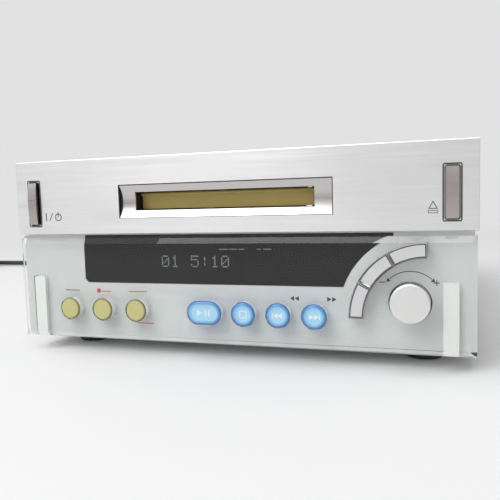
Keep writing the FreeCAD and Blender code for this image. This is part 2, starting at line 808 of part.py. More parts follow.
def topCover():
    """Steel cover bent to a U, with rows of vent slots in the top and the sides."""
    body = newBody("top_cover")
    half = deckWidth / 2 - 1.2
    top = fasciaTop - 0.6
    low = footHeight + 0.8
    frontY = panelBack + 0.2
    inner = half - metal
    cover = extrude(
        body, "Bent", "XZ", frontY, rearY - frontY,
        lambda s: outline(
            s,
            [
                (-half, low), (-half, top), (half, top), (half, low),
                (inner, low), (inner, top - metal), (-inner, top - metal), (-inner, low),
            ],
        ),
    )
    cover = dress(
        body, "Fillet", "Bends", cover, 1.5,
        lambda e, m: along(e, Y) and m.z > top.value - 0.01 and abs(m.x) > half.value - 0.01,
    )
    body.Tip = cover
    slot = extrude(
        body, "TopSlot", "XY", top - 5, 8.0,
        lambda s: pill(s, 0.0, 20.0, 60.0, 1.25), cut=True,
    )
    repeat(body, "TopSlots", slot, "XY", "V_Axis", 72.0, 13)
    side = extrude(
        body, "SideSlot", "YZ", -half - 5, half * 2 + 10,
        lambda s: rect(s, 30.0, footHeight + 30.0, 2.4, 26.0), cut=True,
    )
    repeat(body, "SideSlots", side, "YZ", "H_Axis", 66.0, 12)
    screwHoles(body)


def rearPanel():
    """Steel back with openings for the sockets and the cord."""
    body = newBody("rear_panel")
    half = deckWidth / 2 - 2.4
    extrude(
        body, "Plate", "XZ", rearY - metal, metal,
        lambda s: rect(s, -half, footHeight, half * 2, fasciaTop - metal - 0.7 - footHeight),
    )

    def openings(sketch):
        for x in phonoX:
            for z in phonoZ:
                circle(sketch, x, z, 4.3)
        for x in opticalX:
            rect(sketch, x - 5.0, 26.0, 10.0, 10.0)
        circle(sketch, cordX, cordZ, 4.2)

    extrude(body, "Openings", "XZ", rearY - 5, 10.0, openings, cut=True)
    vent = extrude(
        body, "Vent", "XZ", rearY - 5, 10.0,
        lambda s: pill(s, 0.0, 58.0, 40.0, 1.25), cut=True,
    )
    repeat(body, "Vents", vent, "XZ", "V_Axis", 15.0, 4)


phonoX = (62.0, 76.0)
phonoZ = (24.0, 38.0)
opticalX = (12.0, 30.0)
cordX = -78.0
cordZ = 26.0


def sockets():
    """Phono and optical sockets on the back."""
    housing = newBody("phono_jacks")
    housing.AllowCompound = True
    extrude(
        housing, "Housing", "XZ", rearY - metal - 11.0, 11.0,
        lambda s: rect(s, phonoX[0] - 6.5, phonoZ[0] - 6.5, 27.0, 27.0),
    )
    each = [(x, z) for x in phonoX for z in phonoZ]
    collars = rearY - metal - 0.1
    extrude(housing, "Collars", "XZ", collars, 1.9, lambda s: [circle(s, x, z, 4.2) for x, z in each])
    extrude(housing, "Barrels", "XZ", rearY, 6.5, lambda s: [circle(s, x, z, 3.4) for x, z in each])
    extrude(
        housing, "Sockets", "XZ", rearY - 3.0, 12.0,
        lambda s: [circle(s, x, z, 1.7) for x, z in each], cut=True,
    )
    optical = newBody("optical_sockets")
    optical.AllowCompound = True
    extrude(
        optical, "Cases", "XZ", rearY - metal - 10.0, 12.5,
        lambda s: [rect(s, x - 4.8, 26.2, 9.6, 9.6) for x in opticalX],
    )
    extrude(
        optical, "Bodies", "XZ", rearY - metal - 10.0, 10.0,
        lambda s: [rect(s, x - 6.5, 24.5, 13.0, 13.0) for x in opticalX],
    )
    extrude(
        optical, "Ports", "XZ", rearY - 3.0, 12.0,
        lambda s: [rect(s, x - 2.6, 28.4, 5.2, 5.2) for x in opticalX], cut=True,
    )


def mainBoard():
    """Main board on the chassis, with its tall parts."""
    board = newBody("main_circuit_board")
    level = footHeight + 8.0
    extrude(board, "Board", "XY", level, 1.6, lambda s: rect(s, -34.0, -20.0, 120.0, 132.0))
    top = level + 1.6
    caps = newBody("filter_capacitors")
    caps.AllowCompound = True
    spots = [(-18.0, 92.0), (-3.0, 92.0), (-18.0, 76.0), (-3.0, 76.0)]
    cans = extrude(caps, "Cans", "XY", top, 18.0, lambda s: [circle(s, x, y, 5.0) for x, y in spots])
    caps.Tip = dress(
        caps, "Chamfer", "Beads", cans, 0.8,
        lambda e, m: abs(m.z - (top.value + 18.0)) < 1e-6,
    )
    chips = newBody("signal_chips")
    chips.AllowCompound = True
    places = [(20.0, -4.0, 20.0), (52.0, 2.0, 14.0), (20.0, 36.0, 14.0), (56.0, 44.0, 20.0)]
    extrude(chips, "Packages", "XY", top, 2.4, lambda s: [rect(s, x, y, w, w) for x, y, w in places])
    sink = newBody("heatsink")
    extrude(sink, "Back", "XY", top, 16.0, lambda s: rect(s, -30.0, 40.0, 30.0, 2.0))
    fin = extrude(sink, "Fin", "XY", top, 16.0, lambda s: rect(s, -30.0, 41.9, 1.2, 10.0))
    repeat(sink, "Fins", fin, "XY", "H_Axis", 28.8, 9)


def transformer():
    """Mains transformer: laminated core with a winding bobbin through it."""
    low = footHeight + metal
    core = newBody("transformer_core")
    extrude(core, "Stack", "YZ", -82.0, 22.0, lambda s: rect(s, 52.0, low + 2.0, 48.0, 40.0))

    def windows(sketch):
        rect(sketch, 60.0, low + 10.0, 8.0, 24.0)
        rect(sketch, 84.0, low + 10.0, 8.0, 24.0)

    extrude(core, "Windows", "YZ", -84.0, 30.0, windows, cut=True)

    def feet(sketch):
        rect(sketch, 44.0, low, 64.0, 2.1)

    extrude(core, "Bracket", "YZ", -82.0, 22.0, feet)
    coil = newBody("transformer_winding")

    def wound(sketch):
        rect(sketch, -87.6, 60.6, 33.2, 31.0)
        rect(sketch, -82.2, 67.8, 22.4, 16.6)

    winding = extrude(coil, "Winding", "XY", low + 11.0, 22.0, wound)
    coil.Tip = dress(
        coil, "Fillet", "Turns", winding, 2.0,
        lambda e, m: along(e, Z) and (m.y < 61.0 or m.y > 91.0),
    )


def mechanism():
    """Loading mechanism's chassis: folded tray on four legs, with the drive's bearings."""
    body = newBody("mechanism_chassis")
    half = dim("mechWidth") / 2
    startY = dim("mechY")
    length = dim("mechLength")
    extrude(body, "Floor", "XY", mechFloor, metal, lambda s: rect(s, -half, startY, half * 2, length))

    def sides(sketch):
        rect(sketch, -half, mechFloor, metal, 27.0)
        rect(sketch, half - metal, mechFloor, metal, 27.0)

    extrude(body, "Sides", "XZ", startY, length, sides)

    def drives(sketch):
        circle(sketch, 0.0, discY, 9.6)
        circle(sketch, sledX, sledY, 2.0)
        rect(sketch, 12.0, discY - 10.0, dim("pickupTravel") + 12.0, 20.0)

    extrude(body, "DriveHoles", "XY", mechFloor - 1, 4.0, drives, cut=True)
    extrude(
        body, "PinSlots", "YZ", -half - 1, half * 2 + 2,
        lambda s: [
            rect(s, y - 1.3, bezelMid - dim("holderDrop") - 1.4, 2.6, dim("holderDrop") + 2.8) for y in pinY
        ],
        cut=True,
    )
    extrude(body, "SlideRail", "XY", mechFloor + 0.9, 2.05, lambda s: rect(s, -44.6, -105.0, 1.8, 100.0))
    extrude(body, "MotorStrap", "XY", motorTop, metal, lambda s: rect(s, -half + 0.1, -31.0, 18.0, 14.0))
    legs = newBody("mechanism_legs")
    legs.AllowCompound = True
    bottom = footHeight + metal
    spots = [(x, y) for x in (-42.0, 42.0) for y in (-100.0, -26.0)]
    posts = extrude(
        legs, "Legs", "XY", bottom, mechFloor - bottom,
        lambda s: [circle(s, x, y, 3.2) for x, y in spots],
    )
    legs.Tip = posts

    rods = newBody("guide_rods")
    rods.AllowCompound = True
    ways = (discY - 14.0, discY + 14.0)
    extrude(
        rods, "Rods", "YZ", 10.5, half - metal - 10.5,
        lambda s: [circle(s, y, rodZ, 1.0) for y in ways],
    )

    def blocks(sketch):
        for y in ways:
            rect(sketch, 10.5, y - 2.0, 2.2, 4.0)

    extrude(rods, "Blocks", "XY", mechFloor + metal, rodZ - mechFloor - metal, blocks)


pinY = (-86.0, -46.0)
motorTop = mechFloor + 23.0
sledX = 24.0
sledY = dim("discY") + 26.5


def gearOutline(teeth, module, centreX, centreY, phase):
    """Spur gear outline with straight-sided teeth, as a closed wire in the XY plane."""
    pitch = teeth * module / 2
    step = 2 * math.pi / teeth
    tip, root = pitch + 0.9 * module, pitch - 1.15 * module
    points = []
    for tooth in range(int(teeth)):
        middle = phase + tooth * step
        for radius, offset in ((root, -0.28), (tip, -0.08), (tip, 0.08), (root, 0.28)):
            angle = middle + offset * step
            points.append(Vector(centreX + radius * math.cos(angle), centreY + radius * math.sin(angle), 0))
    return Part.makePolygon(points + points[:1])


def rackOutline(count, module, startX, pitchY, up):
    """Rack outline: teeth along X that point towards up (1 or -1) in Y."""
    step = math.pi * module
    tip, root = pitchY + up * 0.9 * module, pitchY - up * 1.15 * module
    points = []
    for tooth in range(count):
        middle = startX + (tooth + 0.5) * step
        for level, offset in ((root, -0.30), (tip, -0.09), (tip, 0.09), (root, 0.30)):
            points.append(Vector(middle + offset * step, level, 0))
    back = root - up * 1.6
    points = [Vector(startX, back, 0), Vector(startX, root, 0)] + points
    points += [Vector(startX + count * step, root, 0), Vector(startX + count * step, back, 0)]
    return Part.makePolygon(points + points[:1])


def prism(wire, low, high):
    face = Part.Face(wire)
    solid = face.extrude(Vector(0, 0, high - low))
    solid.translate(Vector(0, 0, low))
    return solid


def partFeature(label, shape):
    feature = doc.addObject("Part::Feature", label)
    feature.Label = label
    feature.Shape = shape
    feature.Placement = Placement()
    subParts.append(feature)
    return feature


def sled():
    """Pickup block on two rods, driven by a pinion that meshes with the rack on its side."""
    module, teeth = dim("gearModule").value, dim("gearTeeth").value
    pitch = module * teeth / 2
    blockX = 13.2
    deep = rodZ.value
    y0 = discY.value
    block = Part.makeBox(15.0, 31.0, 4.6, Vector(blockX, y0 - 16.0, deep - 2.0))
    lens = Part.makeCylinder(2.0, 1.6, Vector(blockX + 7.0, y0, deep + 2.6), Z)
    rackY = sledY.value - pitch
    count = 10
    step = math.pi * module
    startX = sledX - 7.5 * step
    rack = prism(rackOutline(count, module, startX, rackY, 1), deep - 1.0, deep + 1.0)
    arm = Part.makeBox(15.0, rackY - 2.2 - (y0 + 14.9), 2.0, Vector(blockX, y0 + 14.9, deep - 1.0))
    base = deep + 2.2
    bracket = Part.makeBox(7.0, 29.0, 1.6, Vector(armX, y0 + 13.0, base))
    post = Part.makeBox(7.0, 5.0, armZ.value + 1.6 - base, Vector(armX, armY.value - 2.5, base))
    pivot = Part.makeCylinder(0.96, 9.0, Vector(armX - 1.0, armY.value, armZ.value), X)
    riser = bracket.fuse(post).cut(pivot)
    pickup = block.fuse([lens, arm, rack, riser])
    for y in (y0 - 14.0, y0 + 14.0):
        pickup = pickup.cut(Part.makeCylinder(1.06, 40.0, Vector(blockX - 5, y, deep), X))
    partFeature("optical_pickup", pickup.removeSplitter())

    phase = -math.pi / 2 + math.pi / teeth
    wheel = prism(gearOutline(teeth, module, sledX, sledY.value, phase), deep - 0.9, deep + 0.9)
    foot = mechFloor.value - 4.0
    shaft = Part.makeCylinder(1.0, deep + 1.6 - foot, Vector(sledX, sledY.value, foot), Z)
    partFeature("sled_gear", wheel.fuse(shaft).removeSplitter())

    motor = newBody("sled_motor")
    extrude(
        motor, "Case", "XY", mechFloor - 10.0, 10.0,
        lambda s: circle(s, sledX, sledY, 7.0),
    )
    extrude(
        motor, "Bore", "XY", mechFloor - 5.0, 6.0,
        lambda s: circle(s, sledX, sledY, 1.06), cut=True,
    )


def spindle():
    """Spindle motor in the tray's floor, and the turntable on its shaft."""
    motor = newBody("spindle_motor")
    extrude(motor, "Case", "XY", mechFloor - 4.5, 4.5, lambda s: circle(s, 0.0, discY, 11.5))
    extrude(motor, "Hub", "XY", mechFloor - 0.1, 5.5, lambda s: circle(s, 0.0, discY, 7.0))
    extrude(motor, "Bore", "XY", mechFloor - 4.0, 10.0, lambda s: circle(s, 0.0, discY, 1.56), cut=True)
    table = newBody("turntable")
    low = mechFloor + 6.0
    extrude(table, "Plate", "XY", low, 2.4, lambda s: circle(s, 0.0, discY, 8.0))
    extrude(table, "Cone", "XY", low + 2.3, 1.6, lambda s: circle(s, 0.0, discY, 2.8))
    extrude(table, "Shaft", "XY", mechFloor - 3.6, 9.7, lambda s: circle(s, 0.0, discY, 1.5))


def holder():
    """Cartridge holder: thin folded box, open at both ends and along the middle of its bottom."""
    body = newBody("cartridge_holder")
    thin = 0.6
    inner = dim("slotWidth") / 2 - 0.5
    half = inner + thin
    low = bezelMid - 3.0 - thin
    high = bezelMid + 3.0 + thin
    length = dim("discSize")
    startY = discY - length / 2
    lip = 5.0
    extrude(
        body, "Folded", "XZ", startY, length,
        lambda s: outline(
            s,
            [
                (-half, low), (-half, high), (half, high), (half, low), (half - lip, low),
                (half - lip, low + thin), (inner, low + thin), (inner, high - thin),
                (-inner, high - thin), (-inner, low + thin), (-half + lip, low + thin), (-half + lip, low),
            ],
        ),
    )
    extrude(
        body, "HeadWindow", "XY", high - 2, 4.0,
        lambda s: rect(s, 6.0, discY - 9.0, 31.0, 18.0), cut=True,
    )

    def ports(sketch):
        rect(sketch, -22.0, discY - 9.0, 12.0, 18.0)
        circle(sketch, -4.0, discY, 4.0)

    extrude(body, "Lightening", "XY", high - 2, 4.0, ports, cut=True)
    reach = dim("mechWidth") / 2 - 0.2
    for name, left in (("LeftPins", -reach), ("RightPins", half - 0.3)):
        extrude(
            body, name, "YZ", left, reach - half + 0.3,
            lambda s: [circle(s, y, bezelMid, 1.2) for y in pinY],
        )


def camSlot(y, plateX):
    """Sloping slot that takes a holder pin from its raised to its lowered place as the slide moves back."""
    high = bezelMid.value
    travel, drop = dim("loadTravel").value, dim("holderDrop").value
    length = math.hypot(travel, drop)
    round_ = 1.3
    slot = Part.makeBox(4.0, length, round_ * 2, Vector(plateX - 2.0, -length, -round_))
    for end in (0.0, -length):
        slot = slot.fuse(Part.makeCylinder(round_, 4.0, Vector(plateX - 2.0, end, 0), X))
    slot.rotate(Vector(0, 0, 0), X, math.degrees(math.atan2(drop, travel)))
    slot.translate(Vector(0, y, high))
    return slot


def slide():
    """Loading slide with cam slots and a rack, and the gear and motor that drive it."""
    module, teeth = dim("gearModule").value, dim("gearTeeth").value
    pitch = module * teeth / 2
    deep = mechFloor.value + 3.0
    rackX = -41.5
    gearX = rackX + 0.9 + pitch
    gearY = discY.value + 46.0
    step = math.pi * module
    count = 14
    plateX, plateThick = -44.5, 1.6
    startY = gearY - 11.5 * step
    endY = startY + count * step
    camEnd = pinY[1] + 3.0
    frontY = pinY[0] - dim("loadTravel").value - 3.2
    rack = prism(rackOutline(count, module, 0.0, 0.0, 1), 0.0, 2.0)
    rack.rotate(Vector(0, 0, 0), Z, -90)
    rack.translate(Vector(gearX - pitch, endY, deep))
    tall = Part.makeBox(plateThick, camEnd - frontY, 19.0, Vector(plateX, frontY, deep))
    tail = Part.makeBox(plateThick, endY - camEnd + 1.0, 9.0, Vector(plateX, camEnd - 1.0, deep))
    footWide = gearX - pitch - 1.6 - plateX - 0.5
    foot = Part.makeBox(footWide, count * step, 2.0, Vector(plateX + 0.5, startY, deep))
    shape = tall.fuse([tail, foot, rack])
    for y in pinY:
        shape = shape.cut(camSlot(y, plateX))
    partFeature("loading_slide", shape.removeSplitter())
    phase = math.pi + math.pi / teeth
    wheel = prism(gearOutline(teeth, module, gearX, gearY, phase), deep + 0.1, deep + 1.9)
    base = mechFloor.value + 1.2
    shaft = Part.makeCylinder(1.0, deep + 7.0 - base, Vector(gearX, gearY, base), Z)
    partFeature("loading_gear", wheel.fuse(shaft).removeSplitter())
    motor = newBody("loading_motor")
    low = mechFloor + 6.2
    extrude(motor, "Case", "XY", low, motorTop - low, lambda s: circle(s, gearX, gearY, 7.5))
    extrude(motor, "Bore", "XY", low - 1.0, 6.5, lambda s: circle(s, gearX, gearY, 1.06), cut=True)


def headArm():
    """Forked arm that carries the magnetic head above the disc, hinged on the pickup's riser."""
    body = newBody("write_head_arm")
    high = armZ - 0.6
    back = armY + 1.5
    crotch = armY - 3.2
    front = discY - 4.0
    left, right = armX - 1.6, armX + 8.6
    extrude(
        body, "Fork", "XY", high, 1.2,
        lambda s: outline(
            s,
            [
                (left, back), (left, crotch - 3.0), (armX, crotch - 8.0),
                (armX, front), (armX + 6.0, front),
                (armX + 6.0, crotch - 8.0), (right, crotch - 3.0), (right, back), (right - 1.3, back),
                (right - 1.3, crotch), (left + 1.3, crotch), (left + 1.3, back),
            ],
        ),
    )
    extrude(body, "Shoe", "XY", high - 2.2, 2.3, lambda s: rect(s, armX + 0.5, discY - 3.5, 5.0, 6.0))
    extrude(body, "Pivot", "YZ", left, 10.2, lambda s: circle(s, armY, armZ, 0.9))


def feet():
    """Round feet under the chassis."""
    body = newBody("feet")
    body.AllowCompound = True
    spots = [(x, y) for x in (-76.0, 76.0) for y in (-100.0, 98.0)]
    pads = extrude(body, "Pads", "XY", 0.0, footHeight, lambda s: [circle(s, x, y, 8.0) for x, y in spots])
    body.Tip = dress(body, "Chamfer", "Rims", pads, 1.0, lambda e, m: abs(m.z) < 1e-6)


def screws():
    """Pan-head screws of the cover and of the back."""
    body = newBody("cover_screws")
    body.AllowCompound = True
    half = deckWidth / 2 - 1.2
    thread = half - 4.0
    for side, name in ((-1, "Left"), (1, "Right")):
        head = half if side > 0 else -half - 1.1
        rows = [(y, screwZ) for y in screwY]
        extrude(body, name + "Heads", "YZ", head, 1.1, lambda s: [circle(s, y, z, 3.0) for y, z in rows])
        shank = thread if side > 0 else -half
        extrude(body, name + "Shanks", "YZ", shank, 4.0, lambda s: [circle(s, y, z, 1.3) for y, z in rows])


def cordFittings():
    """Bush in the back with a tapered strain relief."""
    body = newBody("cord_strain_relief")
    thin = dim("cordDiameter") / 2 + 0.5
    extrude(body, "Bush", "XZ", rearY - 5.0, 5.0, lambda s: circle(s, cordX, cordZ, 4.1))
    extrude(body, "Collar", "XZ", rearY, 2.0, lambda s: circle(s, cordX, cordZ, 5.6))
    extrude(body, "Sleeve", "XZ", rearY + 2.0, sleeveLength, lambda s: circle(s, cordX, cordZ, thin))
    wide, narrow = 4.2, thin.value
    cone = newSketch(body, "TaperSketch", "YZ", cordX)
    start, end = rearY + 2.0, rearY + 2.0 + sleeveLength - 1.0
    outline(cone, [(start, cordZ), (end, cordZ), (end, cordZ + narrow), (start, cordZ + wide)])
    taper = body.newObject("PartDesign::Revolution", "Taper")
    taper.Profile = cone
    taper.ReferenceAxis = (cone, ["Edge1"])
    taper.Angle = 360.0
    doc.recompute()


def cordTube():
    """The free lead as straight runs joined by tangent arcs, from the sleeve to the coil."""
    radius = dim("cordDiameter").value / 2
    route = [Vector(*p) for p in cordRoute]
    edges, radii, last = [], [], route[0]
    for before, corner, after in zip(route, route[1:], route[2:]):
        way, next_ = corner - before, after - corner
        run = min(way.Length, next_.Length)
        half = way.getAngle(next_) / 2
        reach = 0.45 * run
        radii.append(reach / math.tan(half))
        way.normalize()
        next_.normalize()
        start, end = corner - way * reach, corner + next_ * reach
        inward = (next_ - way).normalize()
        middle = corner + inward * (radii[-1] / math.cos(half) - radii[-1])
        edges.append(Part.LineSegment(last, start).toShape())
        edges.append(Part.Arc(start, middle, end).toShape())
        last = end
    edges.append(Part.LineSegment(last, route[-1]).toShape())
    path = Part.Wire(edges)
    ring = Part.Wire([Part.makeCircle(radius, route[0], (route[1] - route[0]).normalize())])
    tube = path.makePipeShell([ring], True, True)
    expected = math.pi * radius ** 2 * path.Length
    if abs(tube.Volume - expected) > 0.01 * expected:
        raise RuntimeError("the lead's volume is off")
    print("cord length", round(path.Length, 1), "radii", [round(r, 1) for r in radii])
    partFeature("mains_cord", tube)


def cordEnd():
    """The put-away length as one coil with its tie, and the two-pin plug that lies beside it."""
    coil = newBody("cord_coil")
    x, y = coilCentre
    wide, narrow = coilOuter, coilInner
    rims = (wide, narrow)
    extrude(coil, "Ring", "XY", coilLow, coilHeight, lambda s: [circle(s, x, y, r) for r in rims])
    tie = newBody("cord_tie")
    near, far = y - coilOuter, y - coilInner
    gap, band = 0.15, 0.75
    high = coilLow + coilHeight

    def loop(sketch):
        rect(sketch, near - gap - band, 0.0, far - near + 2 * (gap + band), high + gap + band)
        rect(sketch, near - gap, coilLow - gap, far - near + 2 * gap, coilHeight + 2 * gap)

    extrude(tie, "Band", "YZ", x - 2.5, 5.0, loop)
    plug = newBody("plug_body")
    across = x - turnOuter
    level = plugHeight / 2
    block = extrude(
        plug, "Block", "XZ", plugY, 26.0,
        lambda s: rect(s, across - 11.0, 0.0, 22.0, plugHeight),
    )
    plug.Tip = dress(plug, "Fillet", "Sides", block, 3.0, lambda e, m: along(e, Y))
    extrude(plug, "Tail", "XZ", plugY + 25.9, 12.0, lambda s: circle(s, across, level, 3.6))
    blades = newBody("plug_blades")
    blades.AllowCompound = True
    extrude(
        blades, "Blades", "XZ", plugY - 17.0, 17.0,
        lambda s: [rect(s, across + side * 6.35 - 0.75, level - 3.1, 1.5, 6.2) for side in (-1, 1)],
    )


sleeveLength = 24.0
cordRoute = [
    (-78.0, 151.0, 26.0),
    (-78.6, 173.0, 23.0),
    (-87.0, 196.0, 7.4),
    (-111.0, 213.0, 3.0),
    (-148.0, 214.0, 2.9),
    (-196.0, 203.0, 3.0),
    (-247.0, 193.0, 2.9),
    (-296.0, 178.0, 3.0),
    (-340.0, 170.0, 3.2),
    (-384.0, 169.5, 3.5),
]
coilCentre = (-392.0, 138.5)
turnOuter = 32.1
coilOuter = turnOuter + 2.3
coilInner = 16.2
coilLow = 0.9
coilHeight = 9.2
plugY = 62.0
plugHeight = 14.0


acrylicFront()
posts()
displayWindow()
lowerPanel()
upperFascia()
slotBezel()
slotDoor()
sideKeys()
roundKey("play_pause_key", dim("pillX"), dim("blueKeyRadius"), True, dim("pillStraight"))
for label, x in blueKeys.items():
    roundKey(label, x, dim("blueKeyRadius"), True)
for label, x in roundKeys.items():
    roundKey(label, x, dim("roundKeyRadius"), False)
for label, (start, end) in arcKeys.items():
    arcKey(label, start, end)
jogKnob()
frontBoard()
chassis()
topCover()
rearPanel()
sockets()
mainBoard()
transformer()
mechanism()
sled()
spindle()
holder()
slide()
headArm()
feet()
screws()
cordFittings()
cordTube()
cordEnd()

doc.recompute()
for item in doc.Objects:
    if "Invalid" in item.State or "Error" in item.State:
        raise RuntimeError("%s is %s" % (item.Label, item.State))
for part in subParts:
    if part.Shape.isNull() or not part.Shape.isValid():
        raise RuntimeError(part.Label + " has no valid shape")

os.makedirs("parts", exist_ok=True)
for part in subParts:
    part.Shape.exportStep("parts/%s.step" % part.Label)
whole = Part.makeCompound([p.Shape for p in subParts]).BoundBox
print("nodes", len(subParts))
ends = (whole.XMin, whole.XMax, whole.YMin, whole.YMax, whole.ZMin, whole.ZMax)
print("box", [round(v, 2) for v in ends])
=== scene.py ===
import math

import bpy
from mathutils import Matrix, Vector


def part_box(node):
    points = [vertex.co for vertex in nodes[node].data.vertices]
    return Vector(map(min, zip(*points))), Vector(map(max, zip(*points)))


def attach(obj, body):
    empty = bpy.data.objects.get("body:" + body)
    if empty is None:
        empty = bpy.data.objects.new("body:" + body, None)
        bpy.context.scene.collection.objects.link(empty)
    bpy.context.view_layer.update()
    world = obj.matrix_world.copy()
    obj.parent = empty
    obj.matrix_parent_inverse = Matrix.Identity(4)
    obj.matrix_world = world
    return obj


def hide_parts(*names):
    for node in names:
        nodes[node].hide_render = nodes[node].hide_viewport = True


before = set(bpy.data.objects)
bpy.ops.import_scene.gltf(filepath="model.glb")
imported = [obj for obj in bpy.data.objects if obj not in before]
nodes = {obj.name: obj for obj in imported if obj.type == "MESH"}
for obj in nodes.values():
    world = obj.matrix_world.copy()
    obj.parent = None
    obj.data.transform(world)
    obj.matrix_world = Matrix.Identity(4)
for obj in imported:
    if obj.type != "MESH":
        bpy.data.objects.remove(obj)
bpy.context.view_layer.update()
mm = 0.001
print("frame loaded,", len(nodes), "nodes")


class Wire:
    # one shader value; a sum written on it adds its Math nodes
    def __init__(self, tree, socket=None):
        self.tree = tree
        self.socket = socket

    def add(self, kind, settings=None, inputs=None, output=0):
        node = self.tree.nodes.new("ShaderNode" + kind)
        for name, value in (settings or {}).items():
            setattr(node, name, value)
        for key, value in (inputs or {}).items():
            socket = node.inputs[key]
            if isinstance(value, Wire):
                self.tree.links.new(value.socket, socket)
            elif socket.type == "RGBA" and len(value) == 3:
                socket.default_value = (*value, 1)
            else:
                socket.default_value = value
        return Wire(self.tree, node.outputs[output] if node.outputs else None)

    def calc(self, operation, *values):
        return self.add("Math", {"operation": operation}, dict(enumerate(values)))

    def __add__(self, other):
        return self.calc("ADD", self, other)

    def __sub__(self, other):
        return self.calc("SUBTRACT", self, other)

    def __mul__(self, other):
        return self.calc("MULTIPLY", self, other)

    def __rsub__(self, other):
        return self.calc("SUBTRACT", other, self)

    def __gt__(self, other):
        return self.calc("GREATER_THAN", self, other)

    def __lt__(self, other):
        return self.calc("LESS_THAN", self, other)

    __radd__ = __add__
    __rmul__ = __mul__


def newMaterial(name):
    material = bpy.data.materials.new(name)
    material.use_nodes = True
    material.node_tree.nodes.clear()
    return material, Wire(material.node_tree)


def finishMaterial(root, shader):
    root.add("OutputMaterial", {}, {"Surface": shader})


def lightPath(root, kind):
    kinds = {"camera": 0, "shadow": 1, "diffuse": 2, "glossy": 3, "transmission": 7}
    return root.add("LightPath", output=kinds[kind])


def objectPlace(root):
    return root.add("TexCoord", output=3)


def objectSpot(root, scale=(1, 1, 1)):
    return root.add("Mapping", {}, {"Vector": objectPlace(root), "Scale": scale})


def mixColour(root, amount, first, second):
    return root.add("Mix", {"data_type": "RGBA"}, {0: amount, 6: first, 7: second}, 2)


def along(root, axis, spot=None):
    return root.add("SeparateXYZ", {}, {0: spot or objectPlace(root)}, "XYZ".index(axis))


def seenDirectly(root):
    # camera, mirror and see-through rays
    mirrored = root.calc("MAXIMUM", lightPath(root, "glossy"), lightPath(root, "transmission"))
    return root.calc("MAXIMUM", lightPath(root, "camera"), mirrored)


def smoothStep(root, value, low, high):
    return root.add("MapRange", {"interpolation_type": "SMOOTHSTEP"}, {0: value, 1: low, 2: high})


def noise(root, scale, detail=4.0, rough=0.55, stretch=(1, 1, 1)):
    return root.add("TexNoise", {}, {
        "Vector": objectSpot(root, stretch), "Scale": scale, "Detail": detail, "Roughness": rough,
    })


def coated(name, settings):
    # moulded, painted or plated surface: speckle, soft clouding, rubbed edges and fine bump
    s = {
        "colour": (0.5, 0.5, 0.5), "rough": 0.45, "metal": 0.0, "speckle": 0.05, "grain": 4000.0,
        "cloud": 0.04, "cloudScale": 30.0, "roughSpread": 0.12, "bump": 0.08, "depth": 0.00004,
        "stretch": (1, 1, 1), "light": 1.35, "lift": 0.01, "dark": 0.65, "wear": 0.25,
        "edge": (0.53, 0.62), "extra": {},
    }
    s.update(settings)
    material, root = newMaterial(name)
    grain = noise(root, s["grain"], 3.0, 0.6, s["stretch"])
    cloud = noise(root, s["cloudScale"], 4.0, 0.6)
    tone = (grain - 0.5) * (s["speckle"] * 2) + (cloud - 0.5) * (s["cloud"] * 2)
    light = [min(1.0, c * s["light"] + s["lift"]) for c in s["colour"]]
    dark = [c * s["dark"] for c in s["colour"]]
    colour = mixColour(root, tone + 0.5, dark, light)
    pointed = root.add("NewGeometry", output=7)
    rubbed = root.add("MapRange", {}, {0: pointed, 1: s["edge"][0], 2: s["edge"][1], 3: 0.0, 4: s["wear"]})
    colour = mixColour(root, rubbed * cloud, colour, light)
    rough = (grain - 0.5) * s["roughSpread"] + (cloud - 0.5) * (s["roughSpread"] * 0.8) + s["rough"]
    bump = root.add("Bump", {}, {"Strength": s["bump"], "Distance": s["depth"], "Height": grain})
    inputs = {"Base Color": colour, "Metallic": s["metal"], "Roughness": rough, "Normal": bump}
    inputs.update(s["extra"])
    finishMaterial(root, root.add("BsdfPrincipled", {}, inputs))
    return material


def brushed(name, settings):
    # straight brush lines along X with a little waviness, on aluminium
    s = {
        "colour": (0.86, 0.835, 0.825), "rough": 0.34, "metal": 1.0, "lines": 0.08, "lineScale": 5200.0,
        "stretch": (0.012, 1, 1), "depth": 0.000025, "bump": 0.35, "anisotropic": 0.55, "cloud": 0.05,
        "light": 1.22, "dark": 0.60, "middle": 0.62, "roughSpread": 0.16,
    }
    s.update(settings)
    material, root = newMaterial(name)
    fine = noise(root, s["lineScale"], 2.0, 0.7, s["stretch"])
    coarse = noise(root, s["lineScale"] * 0.25, 3.0, 0.6, s["stretch"])
    cloud = noise(root, 18.0, 3.0, 0.5)
    tone = (fine - 0.5) * (s["lines"] * 2) + (coarse - 0.5) * s["lines"] + (cloud - 0.5) * s["cloud"]
    dark = [c * s["dark"] for c in s["colour"]]
    light = [min(1.0, c * s["light"]) for c in s["colour"]]
    colour = mixColour(root, tone + s["middle"], dark, light)
    rough = (coarse - 0.5) * s["roughSpread"] + (cloud - 0.5) * (s["roughSpread"] / 2) + s["rough"]
    bump = root.add("Bump", {}, {"Strength": s["bump"], "Distance": s["depth"], "Height": fine + coarse})
    finishMaterial(root, root.add("BsdfPrincipled", {}, {
        "Base Color": colour, "Metallic": s["metal"], "Roughness": rough, "Normal": bump,
        "Anisotropic": s["anisotropic"], "Anisotropic Rotation": 0.25,
    }))
    return material


